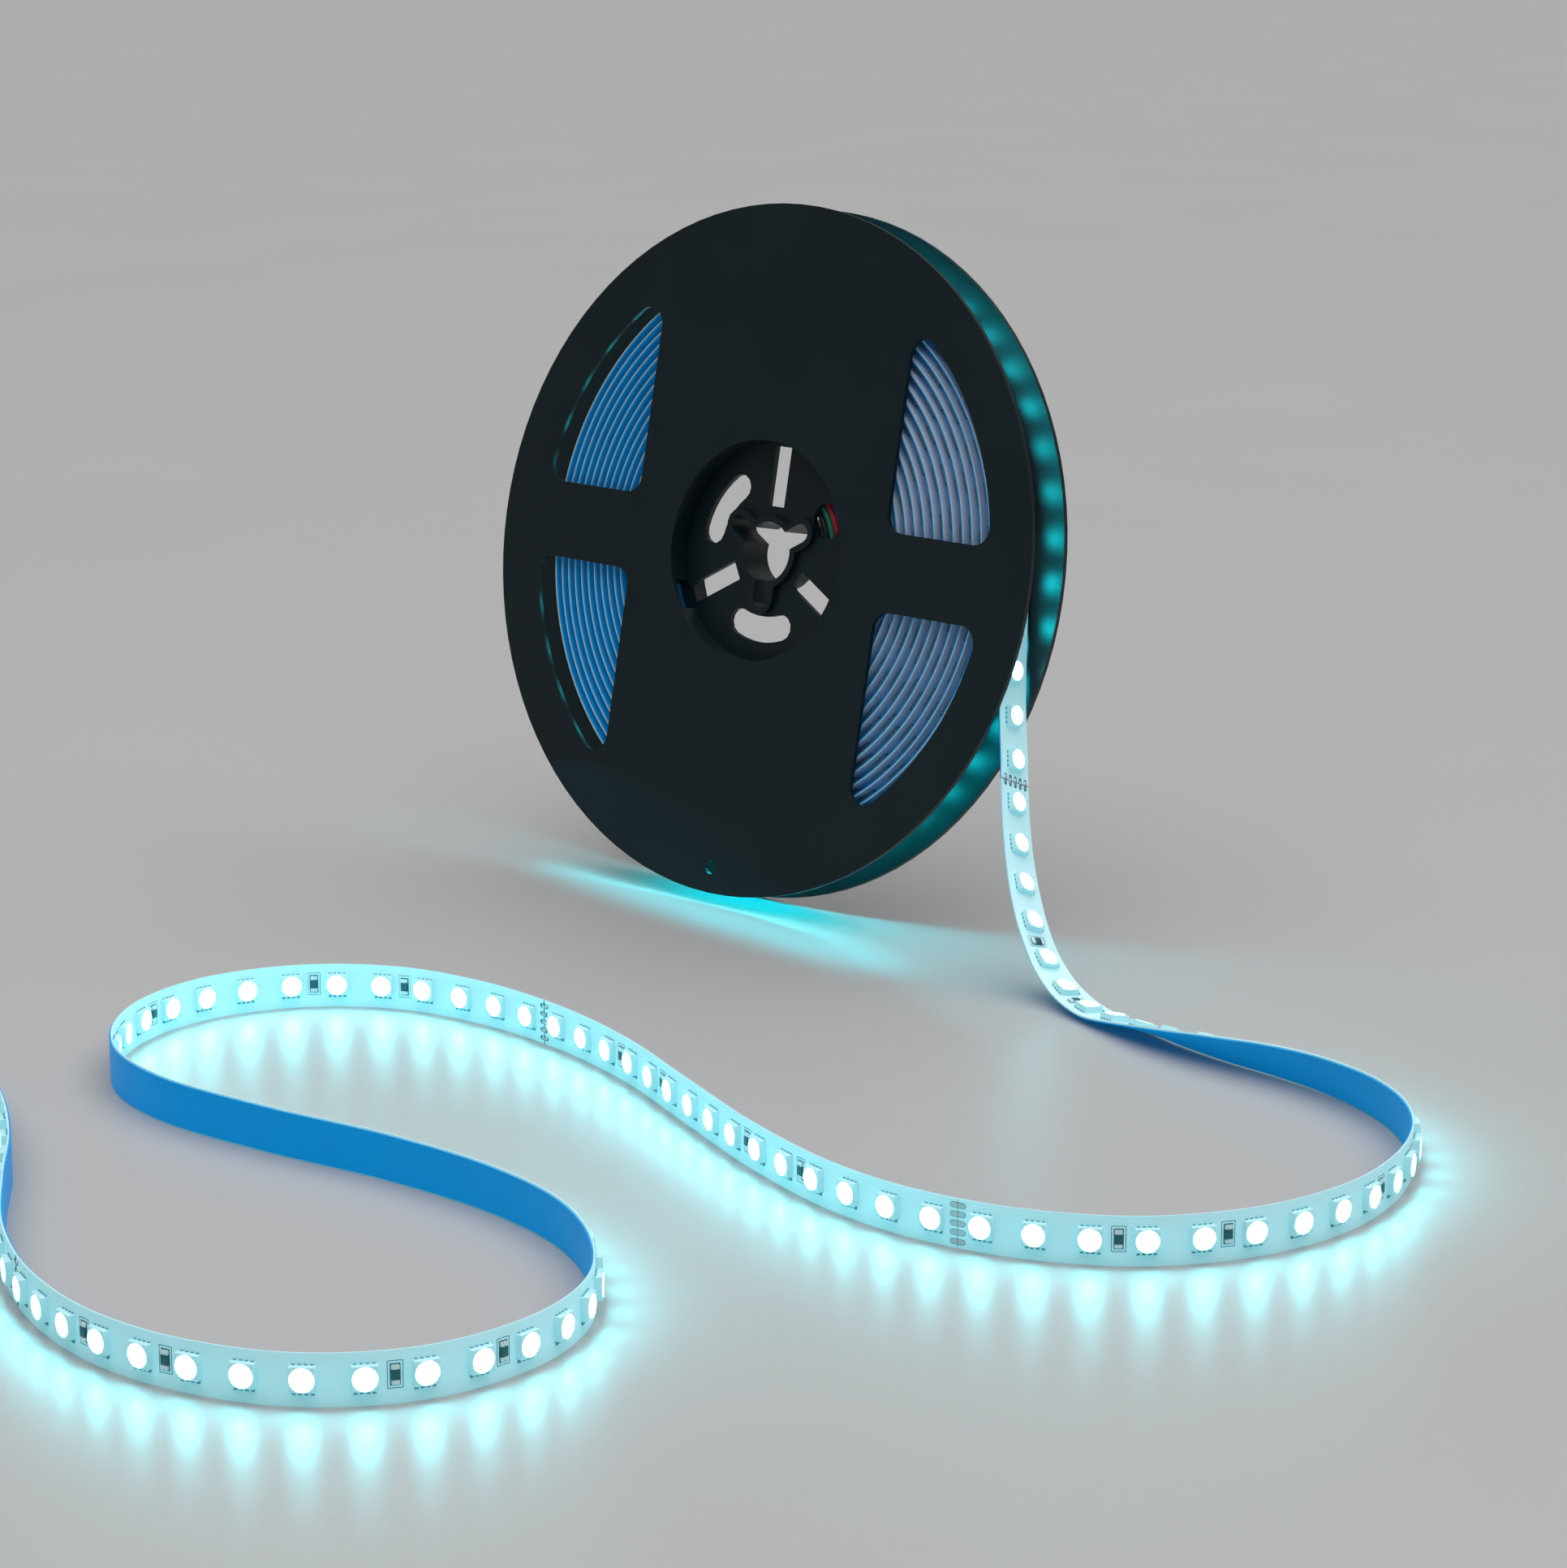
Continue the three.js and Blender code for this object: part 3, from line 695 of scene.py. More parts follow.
@dataclass
class PlacedParts:
    """Copies of one small part set on the strip's face by a Geometry Nodes tree.

    The tree puts a copy on each point, turned so that its Z looks out of the face, its X
    runs along the strip and its Y points to the lower edge, lifts it off the board, and
    moves it across the width.
    """

    route: StripRoute

    def tree(self) -> bpy.types.NodeTree:
        """Build the tree, once for all parts.

        Returns:
            The Geometry Nodes tree with its named inputs.
        """
        name = "parts_on_strip"
        if name in bpy.data.node_groups:
            return bpy.data.node_groups[name]
        tree = bpy.data.node_groups.new(name, "GeometryNodeTree")
        inputs = (("Places", "Geometry"), ("Part", "Object"), ("Finish", "Material"),
                  ("Lift", "Float"), ("Shift across", "Float"))
        for label, kind in inputs:
            tree.interface.new_socket(label, in_out="INPUT", socket_type=f"NodeSocket{kind}")
        tree.interface.new_socket("Parts", in_out="OUTPUT", socket_type="NodeSocketGeometry")
        start = add_node(tree, "NodeGroupInput")
        out = add_node(tree, "GeometryNodeInputNamedAttribute", {"data_type": "FLOAT_VECTOR"},
                       values={"Name": "out"})
        along = add_node(tree, "GeometryNodeInputNamedAttribute", {"data_type": "FLOAT_VECTOR"},
                         values={"Name": "along"})
        across = add_node(tree, "ShaderNodeVectorMath", {"operation": "CROSS_PRODUCT"},
                          links={0: out.outputs["Attribute"], 1: along.outputs["Attribute"]})
        lift = add_node(tree, "ShaderNodeVectorMath", {"operation": "SCALE"},
                        links={0: out.outputs["Attribute"], "Scale": start.outputs["Lift"]})
        shift = add_node(tree, "ShaderNodeVectorMath", {"operation": "SCALE"},
                         links={0: across.outputs["Vector"], "Scale": start.outputs["Shift across"]})
        move = add_node(tree, "ShaderNodeVectorMath", {"operation": "SUBTRACT"},
                        links={0: lift.outputs["Vector"], 1: shift.outputs["Vector"]})
        placed = add_node(tree, "GeometryNodeSetPosition",
                          links={"Geometry": start.outputs["Places"], "Offset": move.outputs["Vector"]})
        turn = add_node(tree, "FunctionNodeAxesToRotation",
                        {"primary_axis": "Z", "secondary_axis": "X"},
                        links={"Primary Axis": out.outputs["Attribute"],
                               "Secondary Axis": along.outputs["Attribute"]})
        part = add_node(tree, "GeometryNodeObjectInfo", links={"Object": start.outputs["Part"]})
        copies = add_node(tree, "GeometryNodeInstanceOnPoints",
                          links={"Points": placed.outputs["Geometry"],
                                 "Instance": part.outputs["Geometry"],
                                 "Rotation": turn.outputs["Rotation"]})
        real = add_node(tree, "GeometryNodeRealizeInstances",
                        links={"Geometry": copies.outputs["Instances"]})
        dressed = add_node(tree, "GeometryNodeSetMaterial",
                           links={"Geometry": real.outputs["Geometry"],
                                  "Material": start.outputs["Finish"]})
        add_node(tree, "NodeGroupOutput", links={"Parts": dressed.outputs["Geometry"]})
        return tree

    def place(self, name: str, part: bpy.types.Mesh, finish: bpy.types.Material,
              lengths: Sequence[float], lift: float, shift: float) -> bpy.types.Object:
        """Set copies of a part along the strip and return them as one plain mesh.

        Args:
            name: The piece's name.
            part: One part's mesh, in metres, with its Z out of the board's face.
            finish: Its material.
            lengths: Where the copies go, in millimetres along the strip.
            lift: How far the part's origin stands off the board's middle, in millimetres.
            shift: How far it is moved towards the upper edge, in millimetres.

        Returns:
            The piece.
        """
        point, along, _, out = self.route.stations(np.asarray(lengths, dtype=float))
        mesh = bpy.data.meshes.new(name)
        mesh.from_pydata([tuple(p) for p in point], [], [])
        for label, rows in (("along", along), ("out", out)):
            attribute = mesh.attributes.new(label, "FLOAT_VECTOR", "POINT")
            attribute.data.foreach_set("vector", rows.astype(np.float32).ravel())
        piece = new_object(name, mesh)
        pattern = new_object(name + "_pattern", part)
        setter = piece.modifiers.new("parts", "NODES")
        tree = self.tree()
        setter.node_group = tree
        values = {"Part": pattern, "Finish": finish, "Lift": lift * MM, "Shift across": shift * MM}
        for item in tree.interface.items_tree:
            if item.name in values:
                setter[item.identifier] = values[item.name]
        settle(piece)
        bpy.data.objects.remove(pattern)
        return piece


# The small parts themselves


def rounded_block(size: tuple[float, float, float], rounding: float) -> bpy.types.Mesh:
    """Make a block with rounded upright and top edges.

    Args:
        size: Its length along the strip, width and height, in millimetres.
        rounding: The radius of those edges.

    Returns:
        The mesh, in metres.
    """
    shape = bmesh.new()
    bmesh.ops.create_cube(shape, size=1.0)
    bmesh.ops.scale(shape, vec=[s * MM for s in size], verts=shape.verts)
    bmesh.ops.translate(shape, vec=(0, 0, size[2] / 2 * MM), verts=shape.verts)
    if rounding > 0:
        middle = size[2] * MM / 2
        upright = [e for e in shape.edges
                   if abs(e.verts[0].co.z - e.verts[1].co.z) > middle]
        top = [e for e in shape.edges if all(v.co.z > middle for v in e.verts)]
        bmesh.ops.bevel(shape, geom=upright + top, offset=rounding * MM, segments=2,
                        affect="EDGES", profile=0.5)
    return finished_mesh(shape, "block")


def turned(profile: Sequence[tuple[float, float]], sides: int) -> bpy.types.Mesh:
    """Turn a profile about Z.

    Args:
        profile: Radius and height pairs in millimetres, from the axis back to the axis.
        sides: Faces round.

    Returns:
        The closed mesh, in metres.
    """
    shape = bmesh.new()
    rings = []
    for radius, height in profile:
        if radius == 0:
            rings.append([shape.verts.new((0, 0, height * MM))] * sides)
            continue
        rings.append([shape.verts.new((radius * MM * math.cos(2 * math.pi * i / sides),
                                       radius * MM * math.sin(2 * math.pi * i / sides), height * MM))
                      for i in range(sides)])
    for lower, upper in zip(rings, rings[1:]):
        for i in range(sides):
            j = (i + 1) % sides
            corners = list(dict.fromkeys((lower[i], lower[j], upper[j], upper[i])))
            if len(corners) > 2:
                shape.faces.new(corners)
    bmesh.ops.recalc_face_normals(shape, faces=shape.faces)
    return finished_mesh(shape, "turned")


def joined(meshes: Iterable[tuple[bpy.types.Mesh, Vector]]) -> bpy.types.Mesh:
    """Join meshes into one.

    Args:
        meshes: Each mesh, in metres, with its shift in millimetres.

    Returns:
        The joined mesh.
    """
    shape = bmesh.new()
    for mesh, shift in meshes:
        moved = mesh.copy()
        moved.transform(Matrix.Translation(shift * MM))
        shape.from_mesh(moved)
        bpy.data.meshes.remove(moved)
    return finished_mesh(shape, "joined")


@dataclass(frozen=True)
class Piece:
    """A finished piece, the name of a material slot kept with it, and the CAD nodes it stands for."""

    shape: bpy.types.Object
    slot: str
    nodes: tuple[str, ...]


@dataclass
class LedPackage:
    """A 5050 surface-mount LED: a white moulded cup, a domed lens and four legs a side.

    Its sizes are in millimetres. The legs stick out further at the lower side, and their reach
    is counted from the upper and the lower side of the block.
    """

    size: float = 5.0
    height: float = 1.55
    rounding: float = 0.18
    lens_radius: float = 2.36
    ring_wall: float = 0.1
    ring_foot: float = 0.05
    ring_rise: float = 0.03
    lens_depth: float = 0.3
    lens_rise: float = 0.02
    shoulder_share: float = 0.6
    shoulder_rise: float = 0.05
    crown_rise: float = 0.07
    sides: int = 28
    legs_a_side: int = 4
    leg_pitch: float = 1.15
    leg_size: tuple[float, float, float] = (0.66, 1.0, 0.3)
    leg_reach: tuple[float, float] = (-0.38, 0.3)
    rolled_height: float = 1.5

    def housing(self) -> bpy.types.Mesh:
        """Mould the block, with a shallow raised ring round the cup.

        Returns:
            The mesh, in metres.
        """
        block = rounded_block((self.size, self.size, self.height), self.rounding)
        inner, outer = self.lens_radius, self.lens_radius + self.ring_wall
        foot, top = self.height - self.ring_foot, self.height + self.ring_rise
        ring = turned([(inner, foot), (outer, foot), (outer, top), (inner, top), (inner, foot)],
                      self.sides)
        return joined([(block, Vector()), (ring, Vector())])

    def plain_block(self) -> bpy.types.Mesh:
        """A plain square package, for the ones deep in the roll."""
        return rounded_block((self.size, self.size, self.rolled_height), 0.0)

    def lens(self) -> bpy.types.Mesh:
        """Pour the lens, a very low dome just proud of the cup.

        Returns:
            The mesh, in metres.
        """
        top = self.height + self.lens_rise
        foot = top - self.lens_depth
        shoulder = (self.lens_radius * self.shoulder_share, top + self.shoulder_rise)
        return turned([(0, foot), (self.lens_radius, foot), (self.lens_radius, top), shoulder,
                       (0, top + self.crown_rise)], self.sides)

    def legs(self) -> bpy.types.Mesh:
        """Set the tinned legs along the two long sides.

        Returns:
            The mesh, in metres.
        """
        leg = rounded_block(self.leg_size, 0.0)
        first = -(self.legs_a_side - 1) / 2 * self.leg_pitch
        rows = [side * (self.size / 2 + reach) for side, reach in zip((-1, 1), self.leg_reach)]
        return joined([(leg, Vector((first + i * self.leg_pitch, row, 0)))
                       for i in range(self.legs_a_side) for row in rows])


@dataclass
class LightStrip:
    """The flexible circuit: rolled turns, the hanging and lying stretch, and its parts.

    Its sizes are in millimetres, and lengths along it are counted as the route counts them.
    """

    route: StripRoute
    package: LedPackage = field(default_factory=LedPackage)

    # Boards, seen across their thickness, and the film behind them
    board_front: float = 0.25
    board_back: float = -0.1
    rolled_board_back: float = -0.05
    film_front: float = -0.25
    film_back: float = -0.45
    rolled_film_front: float = -0.13
    rolled_film_inset: float = 0.15
    loose_film_inset: float = 0.34
    rolled_board_step: float = 2.6
    rolled_film_step: float = 3.0
    loose_step: float = 1.2
    joint_gap: float = 0.3

    # Segments, boards and which packages are lit
    leds_per_cut: int = 15
    cuts: int = 7
    cuts_per_board: int = 3
    led_shift: float = 0.5
    leds_at_rim: int = 3
    leds_hanging: int = 11
    lit_turn: float = 520.0
    far_side_from: float = 140.0
    far_side_to: float = 345.0

    # Resistors with their end caps, lands and printed frames
    resistors_after: tuple[int, ...] = (4, 6, 10, 12)
    resistor_body: tuple[float, float, float] = (1.7, 2.0, 0.55)
    resistor_rounding: float = 0.08
    end_cap: tuple[float, float, float] = (1.6, 0.9, 0.5)
    end_cap_rounding: float = 0.12
    end_cap_reach: float = 1.45
    land: tuple[float, float, float] = (2.0, 4.3, 0.03)
    frame_size: tuple[float, float] = (2.9, 5.3)
    frame_line: float = 0.12
    ink_height: float = 0.03

    # Pads, cut lines and soldered joints across the strip
    conductors: int = 5
    pad_pitch: float = 1.93
    pad_ring: tuple[float, float, float] = (3.6, 1.24, 0.03)
    cut_pad: tuple[float, float, float] = (3.4, 1.04, 0.05)
    joint_pad: tuple[float, float, float] = (3.0, 1.0, 0.04)
    pad_end_faces: int = 6
    cut_line: tuple[float, float, float] = (0.08, 10.2, 0.07)
    joint_edge: tuple[float, float, float] = (0.14, 10.3, 0.12)
    lump_profile: tuple[tuple[float, float], ...] = ((0, 0), (0.52, 0), (0.46, 0.16), (0.28, 0.28),
                                                     (0, 0.34))
    lump_sides: int = 10
    lump_stretch: tuple[float, float] = (2.1, 1.9)
    lump_stagger: float = 0.16

    @property
    def joint(self) -> float:
        """Length at which the first soldered joint lies."""
        return self.route.first_joint

    @property
    def roll_end(self) -> float:
        """Length at which the strip leaves the roll."""
        return self.joint - self.route.joint_after_rim

    @property
    def rim_start(self) -> float:
        """Length at which the strip starts to come out from behind the near flange."""
        return self.roll_end - self.leds_at_rim * self.route.led_pitch

    @property
    def segment(self) -> float:
        """Length of one cuttable segment."""
        return self.route.led_pitch * self.leds_per_cut

    @property
    def board_spans(self) -> list[tuple[int, int]]:
        """The first and last cut of each loose board, counted from the first joint."""
        starts = range(0, self.cuts, self.cuts_per_board)
        return [(start, min(start + self.cuts_per_board, self.cuts)) for start in starts]

    @property
    def board_nodes(self) -> tuple[str, ...]:
        """The CAD nodes of the loose boards."""
        return tuple(f"strip_board_{i + 1}" for i in range(len(self.board_spans)))

    def build(self) -> list[Piece]:
        """Make every piece of the strip.

        Returns:
            The pieces, bands first and then what is on them.
        """
        return self.bands() + self.packages() + self.resistors() + self.cuts_and_joints()

    def bands(self) -> list[Piece]:
        """Loft the boards and the release liner.

        Returns:
            The bands.
        """
        # The rim stretch and the loose boards take the board with the painted glow
        lit = BOARD_PAINTED_GLOW.build()
        rolled = BOARD_ROLLED.build()
        film_loose = FILM_LOOSE.build()
        film_rolled = FILM_ROLLED.build()
        gap = self.joint_gap / 2
        roll = ("wound_strip",)
        pieces = [
            self.band("rolled_board", (0.0, self.rim_start), self.rolled_board_step,
                      (self.rolled_board_back, self.board_front), 0.0, rolled, "strip_board", roll),
            self.band("rim_board", (self.rim_start, self.joint - gap), self.loose_step,
                      (self.rolled_board_back, self.board_front), 0.0, lit, "strip_board", roll),
            self.band("rolled_film", (0.0, self.joint - gap), self.rolled_film_step,
                      (self.film_back, self.rolled_film_front), self.rolled_film_inset, film_rolled,
                      "liner_paper", roll),
        ]
        for number, ((first, last), node) in enumerate(zip(self.board_spans, self.board_nodes), 1):
            ends = (self.joint + first * self.segment + gap, self.joint + last * self.segment - gap)
            pieces.append(self.band(f"lit_board_{number}", ends, self.loose_step,
                                    (self.board_back, self.board_front), 0.0, lit, "strip_board",
                                    (node,)))
        ends = (self.joint + gap, self.joint + self.cuts * self.segment - gap)
        pieces.append(self.band("loose_film", ends, self.loose_step,
                                (self.film_back, self.film_front), self.loose_film_inset, film_loose,
                                "liner_paper", ("release_liner",)))
        return pieces

    def band(self, name: str, ends: tuple[float, float], step: float, faces: tuple[float, float],
             inset: float, finish: bpy.types.Material, slot: str, nodes: tuple[str, ...]) -> Piece:
        """Loft one board or film.

        Args:
            name: The piece's name.
            ends: Lengths at which it starts and ends.
            step: About how far apart its cross sections are.
            faces: Its back and front face out of the board's middle.
            inset: How much narrower it is than the strip, at each edge.
            finish: Its material.
            slot: Its material slot.
            nodes: The CAD nodes that it stands for.

        Returns:
            The piece.
        """
        start, end = ends
        lengths = np.linspace(start, end, max(2, round((end - start) / step) + 1))
        half = self.route.strip_width / 2 - inset
        mesh = self.route.ribbon(name, lengths, -half, half, *faces)
        return Piece(new_object(name, mesh, finish), slot, nodes)

    def lay(self, name: str, part: bpy.types.Mesh, finish: bpy.types.Material,
            at: Sequence[float], nodes: tuple[str, ...], shift: float = 0.0) -> Piece:
        """Set copies of a part on the board's face.

        Args:
            name: The piece's name.
            part: One part's mesh.
            finish: Its material.
            at: Lengths at which the copies lie.
            nodes: The CAD nodes that they stand for.
            shift: How far they lie off the strip's middle.

        Returns:
            The piece.
        """
        placer = PlacedParts(self.route)
        shape = placer.place(name, part, finish, at, lift=self.board_front, shift=shift)
        return Piece(shape, "strip_board", nodes)

    def packages(self) -> list[Piece]:
        """Set the LED packages: lit on the loose stretch and the last turn, dark deeper in.

        Returns:
            The housings, lenses and legs.
        """
        pitch = self.route.led_pitch
        free = [self.joint + (i + 0.5) * pitch for i in range(self.cuts * self.leds_per_cut)]
        lit_turn = [self.joint - (i + 0.5) * pitch for i in range(int(self.lit_turn / pitch))]
        rolled_count = int((self.joint - self.lit_turn) / pitch) - 1
        rolled = [self.joint - self.lit_turn - (i + 0.5) * pitch for i in range(rolled_count)]
        beyond = [at for at in lit_turn if at > self.roll_end]
        within = [at for at in lit_turn if at <= self.roll_end]
        far_side = [at for at in within
                    if self.far_side_from < self.roll_end - at < self.far_side_to]
        near_side = [at for at in within if at not in far_side]
        # Housings outside the roll take the moulding with the painted glow
        housing = HOUSING_PAINTED_GLOW.build()
        hanging = LENS_HANGING.build()
        leg_tin = TIN_LEG_PAINTED_TEAL.build()
        led, boards, roll = self.package, self.board_nodes, ("wound_strip",)
        rows = (
            ("led_housings", led.housing(), housing, free, boards),
            ("led_lenses", led.lens(), LENS_LIT.build(), free[self.leds_hanging:], boards),
            ("hanging_led_lenses", led.lens(), hanging, free[:self.leds_hanging], boards),
            ("led_legs", led.legs(), leg_tin, free, boards),
            ("rolled_lit_housings", led.housing(), HOUSING_IN_ROLL.build(), within, roll),
            ("rim_led_housings", led.housing(), housing, beyond, roll),
            ("rim_led_legs", led.legs(), leg_tin, beyond, roll),
            ("rolled_lit_lenses", led.lens(), LENS_IN_ROLL.build(), near_side, roll),
            ("rolled_left_lenses", led.lens(), LENS_FAR_SIDE.build(), far_side, roll),
            ("rim_led_lenses", led.lens(), hanging, beyond, roll),
            ("rolled_packages", led.plain_block(), LENS_DARK.build(), rolled, roll),
        )
        return [self.lay(*row, shift=self.led_shift) for row in rows]

    def resistors(self) -> list[Piece]:
        """Set the resistors with their end caps, lands and printed frames.

        Returns:
            The pieces.
        """
        at = [self.joint + (cut * self.leds_per_cut + place) * self.route.led_pitch
              for cut in range(self.cuts) for place in self.resistors_after]
        ink = SILK_INK.build()
        end = rounded_block(self.end_cap, self.end_cap_rounding)
        caps = joined([(end, Vector((0, side * self.end_cap_reach, 0))) for side in (1, -1)])
        rows = (
            ("resistor_bodies", rounded_block(self.resistor_body, self.resistor_rounding),
             RESISTOR_BLACK_PAINTED_TEAL.build()),
            ("resistor_ends", caps, TIN_CAP_PAINTED_LIGHT.build()),
            ("resistor_lands", rounded_block(self.land, 0.0), ink),
            ("resistor_frames", self.printed_frame(), ink),
        )
        return [self.lay(*row, at, self.board_nodes, shift=self.led_shift) for row in rows]

    def cuts_and_joints(self) -> list[Piece]:
        """Set the pads and lines at the cuts, and the solder at the joints between boards.

        Returns:
            The pieces.
        """
        cuts = [self.joint + cut * self.segment for cut in range(1, self.cuts)
                if cut % self.cuts_per_board]
        joints = [self.joint + first * self.segment for first, _ in self.board_spans]
        ink = SILK_INK.build()
        rows = (
            ("cut_pad_rings", self.pads(*self.pad_ring), ink, cuts),
            ("cut_pads", self.pads(*self.cut_pad), PAD_TIN.build(), cuts),
            ("cut_lines", rounded_block(self.cut_line, 0.0), ink, cuts),
            ("joint_pads", self.pads(*self.joint_pad), ink, joints),
            ("joint_solder", self.solder(), TIN.build(), joints),
            ("joint_edges", rounded_block(self.joint_edge, 0.0), ink, joints),
        )
        return [self.lay(*row, self.board_nodes) for row in rows]

    def conductor_rows(self) -> list[float]:
        """Places of the conductors across the strip, from its middle."""
        return [(i - (self.conductors - 1) / 2) * self.pad_pitch for i in range(self.conductors)]

    def pads(self, length: float, width: float, height: float) -> bpy.types.Mesh:
        """Set an oval pad on each conductor.

        Args:
            length: A pad's length along the strip.
            width: Its width.
            height: Its thickness.

        Returns:
            The mesh, in metres.
        """
        return joined([(self.oval(length, width, height), Vector((0, row, 0)))
                       for row in self.conductor_rows()])

    def oval(self, length: float, width: float, height: float) -> bpy.types.Mesh:
        """Make a flat pad with round ends.

        Args:
            length: Its length along the strip.
            width: Its width, which is also the diameter of its ends.
            height: Its thickness.

        Returns:
            The mesh, in metres.
        """
        shape = bmesh.new()
        reach, radius = (length - width) / 2, width / 2
        angles = [math.pi * (i / self.pad_end_faces - 0.5) for i in range(self.pad_end_faces + 1)]
        right = [(reach + radius * math.cos(a), radius * math.sin(a)) for a in angles]
        outline = right + [(-x, -y) for x, y in right]
        ring = [shape.verts.new((x * MM, y * MM, 0)) for x, y in outline]
        face = shape.faces.new(ring)
        raised = bmesh.ops.extrude_face_region(shape, geom=[face])["geom"]
        top = [v for v in raised if isinstance(v, bmesh.types.BMVert)]
        bmesh.ops.translate(shape, vec=(0, 0, height * MM), verts=top)
        bmesh.ops.recalc_face_normals(shape, faces=shape.faces)
        return finished_mesh(shape, "oval")

    def solder(self) -> bpy.types.Mesh:
        """Drop a lump of solder on each conductor, a low dome pulled along the strip.

        Every second lump is a little shorter, and they lie to either side in turn.

        Returns:
            The mesh, in metres.
        """
        lumps = []
        for i, row in enumerate(self.conductor_rows()):
            dome = turned(self.lump_profile, self.lump_sides)
            dome.transform(Matrix.Diagonal((self.lump_stretch[i % 2], 1.0, 1.0, 1.0)))
            stagger = self.lump_stagger * (1 if i % 2 else -1)
            lumps.append((dome, Vector((stagger, row, 0))))
        return joined(lumps)

    def printed_frame(self) -> bpy.types.Mesh:
        """Print the thin rectangle round a resistor.

        Returns:
            The mesh, in metres.
        """
        length, width = self.frame_size
        long_side = rounded_block((length, self.frame_line, self.ink_height), 0.0)
        short_side = rounded_block((self.frame_line, width, self.ink_height), 0.0)
        return joined([(long_side, Vector((0, width / 2, 0))),
                       (long_side, Vector((0, -width / 2, 0))),
                       (short_side, Vector((length / 2, 0, 0))),
                       (short_side, Vector((-length / 2, 0, 0)))])


# The reel


@dataclass
class Reel:
    """The two moulded halves and the leads in the back of the hub."""

    rounding_mm: float = 0.25
    rounding_faces: int = 2
    edge_angle: float = math.radians(40)
    merge_gap_mm: float = 0.002
    flat_angle: float = math.radians(1.5)
    vinyl_roughness: float = 0.38
    vinyl_ior: float = 1.53

    def build(self) -> list[Piece]:
        """Make the reel's two halves.

        Returns:
            The halves.
        """
        plastic = REEL_BLACK.build()
        return [Piece(self.rounded(node, plastic), "reel_plastic", (node,))
                for node in ("front_reel_half", "rear_reel_half")]

    def rounded(self, node: str, plastic: bpy.types.Material) -> bpy.types.Object:
        """Copy a CAD node, merge its loose triangles and round its edges.

        Args:
            node: The CAD node's name.
            plastic: The copy's finish.

        Returns:
            The rounded copy.
        """
        shape = bmesh.new()
        shape.from_mesh(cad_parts[node].data)
        bmesh.ops.remove_doubles(shape, verts=shape.verts, dist=self.merge_gap_mm * MM)
        bmesh.ops.dissolve_limit(shape, angle_limit=self.flat_angle, verts=shape.verts,
                                 edges=shape.edges)
        name = f"moulded_{node}"
        mesh = bpy.data.meshes.new(name)
        shape.to_mesh(mesh)
        shape.free()
        mesh.materials.clear()
        piece = new_object(name, mesh, plastic)
        rounding = piece.modifiers.new("rounding", "BEVEL")
        rounding.width = self.rounding_mm * MM
        rounding.segments = self.rounding_faces
        rounding.limit_method = "ANGLE"
        rounding.angle_limit = self.edge_angle
        flatness = piece.modifiers.new("flatness", "WEIGHTED_NORMAL")
        flatness.weight = 100
        flatness.keep_sharp = True
        mesh.shade_smooth()
        settle(piece)
        return piece

    def dress_leads(self) -> None:
        """Give each lead's CAD node its insulation."""
        for lead in Lead:
            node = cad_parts[lead.node]
            finish = DrawnVinyl(f"{lead.name.lower()}_vinyl_insulation", lead.value,
                                roughness=self.vinyl_roughness, ior=self.vinyl_ior)
            node.data.materials.clear()
            node.data.materials.append(finish.build())


# Floor, light and camera


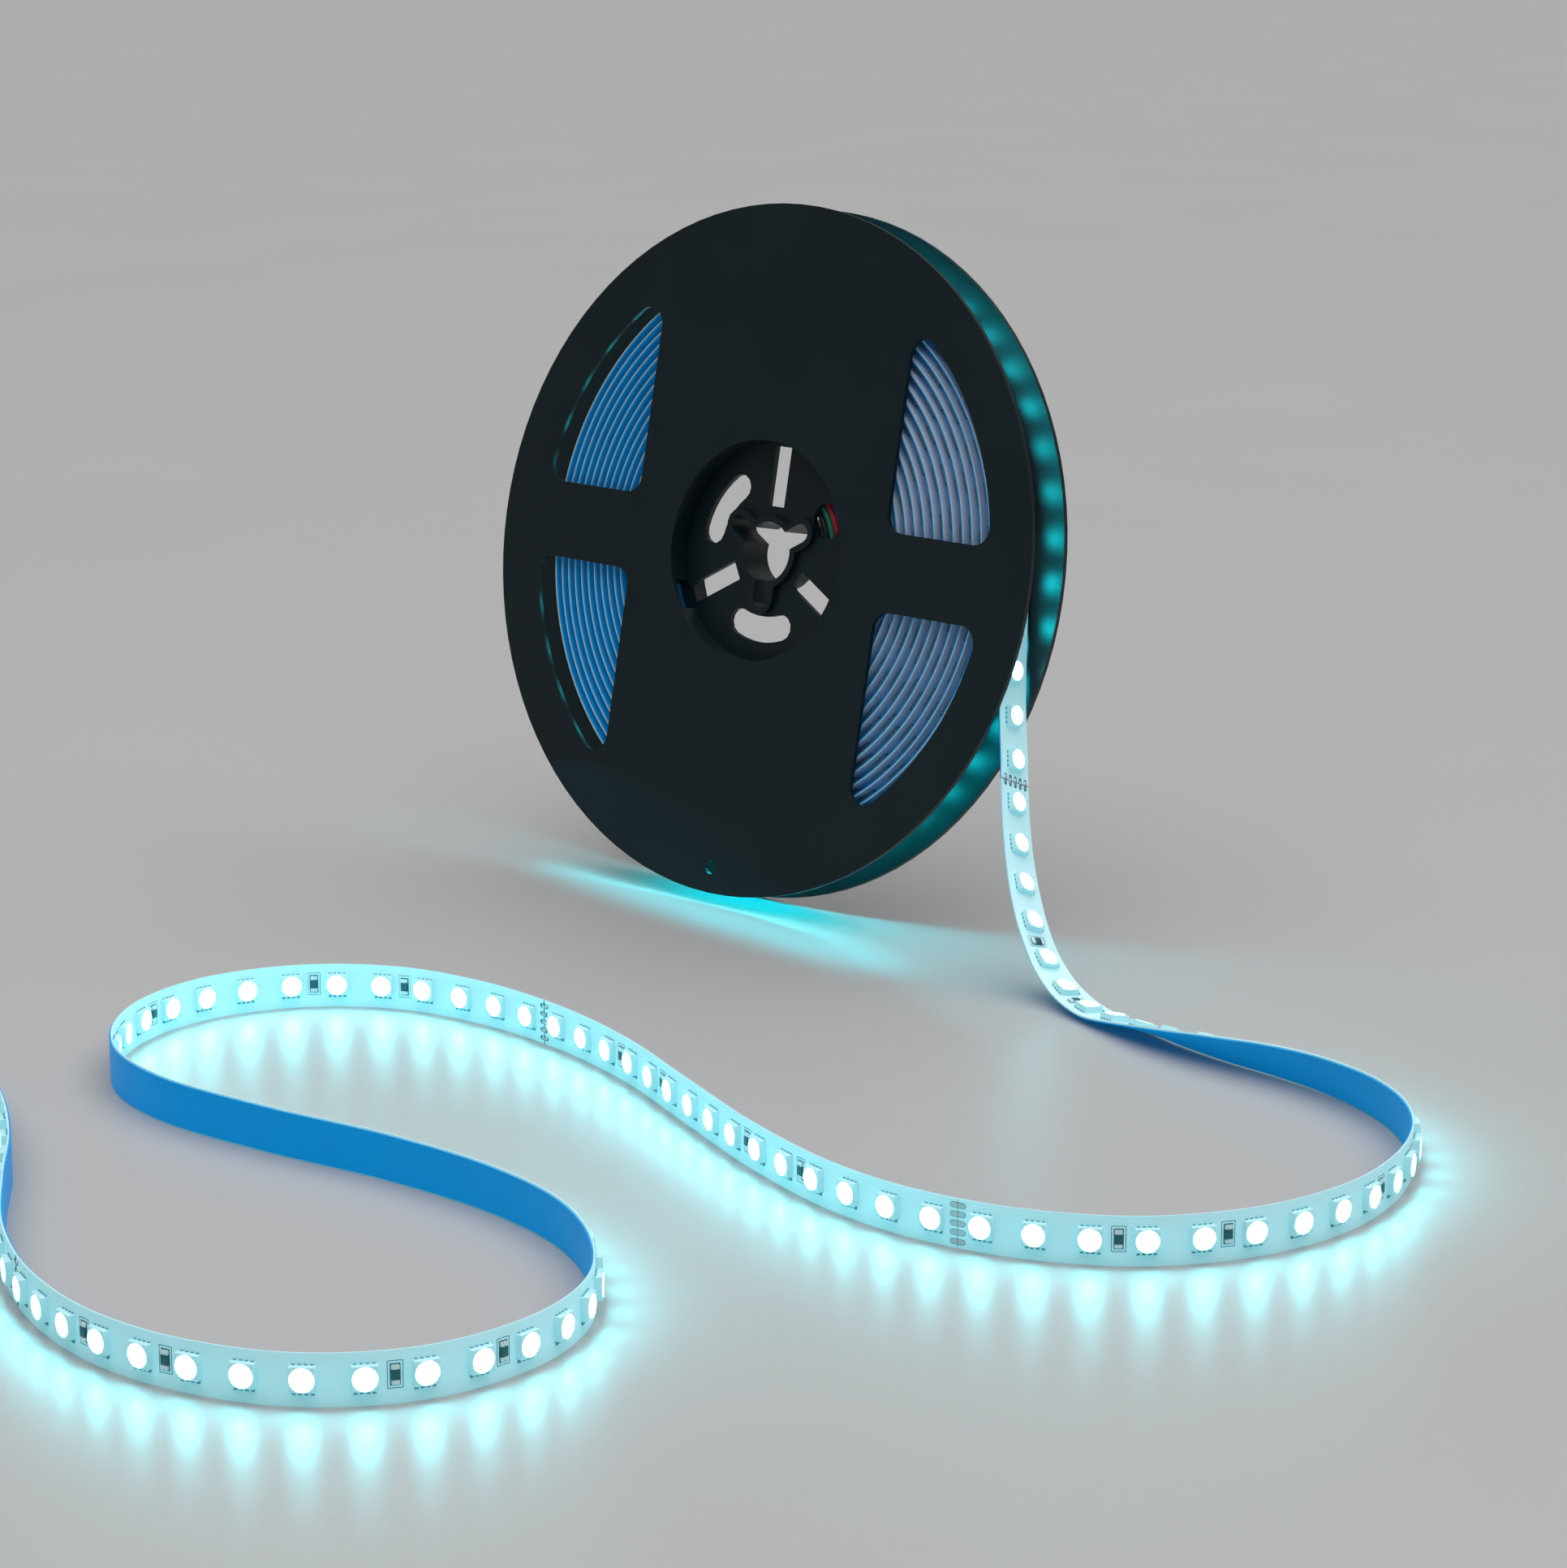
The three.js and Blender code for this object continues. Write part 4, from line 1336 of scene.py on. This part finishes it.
@dataclass
class Studio:
    """A plain pale floor, soft light and the camera. Lengths are in metres."""

    reel_centre: Vector

    # Camera
    camera_from_reel: Vector = Vector((0.73025, -0.83070, 0.21096))
    field_of_view: float = math.radians(20.361)
    forward: Vector = Vector((-0.63917, 0.73094, -0.23916))
    view_reach: float = 200.0

    # Floor
    floor_reach: float = 60.0
    grey: str = "#aeaeae"
    floor_roughness: float = 0.39
    floor_ior: float = 1.6

    # The room's own light and the wide source overhead
    sky: float = 0.16
    lamp_strength: float = 3.15
    lamp_spread: float = math.radians(95)
    lamp_tilt: tuple[float, float, float] = (math.radians(-4), math.radians(5), 0)

    # Light that the lit turn throws on the floor before the rim
    spill_size: tuple[float, float] = (0.14, 0.014)
    spill_power: float = 0.0105
    spill_colour: str = "#08e4f4"
    spill_spread: float = math.radians(52)
    spill_from_reel: Vector = Vector((0.008, -0.032, -0.0585))
    spill_turn: float = math.radians(-8)

    def build(self) -> None:
        """Set up the camera, the floor and the lights."""
        self.camera()
        self.colours()
        self.floor()
        self.room()
        self.spill()

    def floor(self) -> None:
        """Lay a wide satin floor that fills the view."""
        mesh = bpy.data.meshes.new("floor")
        reach = self.floor_reach
        corners = [(x * reach, y * reach, 0) for x, y in ((-1, -1), (1, -1), (1, 1), (-1, 1))]
        mesh.from_pydata(corners, [], [(0, 1, 2, 3)])
        finish = SatinBackdrop("satin_studio_floor", self.grey, roughness=self.floor_roughness,
                               ior=self.floor_ior)
        new_object("floor", mesh, finish.build())

    def room(self) -> None:
        """Light the scene from a wide soft source overhead, in a dim room."""
        world = bpy.data.worlds.new("studio")
        bpy.context.scene.world = world
        world.use_nodes = True
        background = world.node_tree.nodes["Background"]
        background.inputs["Color"].default_value = linear("#ffffff")
        background.inputs["Strength"].default_value = self.sky
        lamp = bpy.data.lights.new("overhead", "SUN")
        lamp.energy = self.lamp_strength
        lamp.angle = self.lamp_spread
        rig = bpy.data.objects.new("overhead", lamp)
        rig.rotation_euler = self.lamp_tilt
        bpy.context.scene.collection.objects.link(rig)

    def spill(self) -> None:
        """Light the floor before the rim, where the lit turn shines out under the near flange."""
        lamp = bpy.data.lights.new("spill", "AREA")
        lamp.shape = "ELLIPSE"
        lamp.size, lamp.size_y = self.spill_size
        lamp.energy = self.spill_power
        lamp.color = linear(self.spill_colour)[:3]
        lamp.spread = self.spill_spread
        rig = bpy.data.objects.new("spill", lamp)
        rig.location = self.reel_centre + self.spill_from_reel
        rig.rotation_euler = (0, 0, self.spill_turn)
        rig.visible_camera = False
        rig.visible_glossy = False
        bpy.context.scene.collection.objects.link(rig)

    def colours(self) -> None:
        """Show colours plainly, as a product photograph does, so lit cyan stays saturated."""
        bpy.context.scene.view_settings.view_transform = "Standard"

    def camera(self) -> None:
        """Set the camera at the photograph's view."""
        data = bpy.data.cameras.new("camera")
        data.sensor_fit = "HORIZONTAL"
        data.lens_unit = "FOV"
        data.angle = self.field_of_view
        data.clip_end = self.view_reach
        rig = bpy.data.objects.new("camera", data)
        rig.location = self.reel_centre + self.camera_from_reel
        rig.rotation_euler = self.forward.to_track_quat("-Z", "Y").to_euler()
        bpy.context.scene.collection.objects.link(rig)
        bpy.context.scene.camera = rig


def reel_centre() -> Vector:
    """Find the middle of the two reel halves together, which is the reel's centre.

    Returns:
        The centre, in metres.
    """
    low_a, high_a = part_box("rear_reel_half")
    low_b, high_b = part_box("front_reel_half")
    low = Vector([min(a, b) for a, b in zip(low_a, low_b)])
    high = Vector([max(a, b) for a, b in zip(high_a, high_b)])
    return (low + high) / 2


def main() -> None:
    """Build the studio, the reel and the strip."""
    logging.basicConfig(level=logging.INFO, format="%(name)s: %(message)s")
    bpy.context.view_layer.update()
    centre = reel_centre()
    Studio(centre).build()
    reel = Reel()
    strip = LightStrip(StripRoute(centre))
    for piece in reel.build() + strip.build():
        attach(piece.shape, BODY)
        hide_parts(*piece.nodes)
        LOG.info("%s: %d faces, for %s", piece.shape.name, len(piece.shape.data.polygons),
                 ", ".join(piece.nodes))
    reel.dress_leads()


if __name__ == "__main__":
    main()
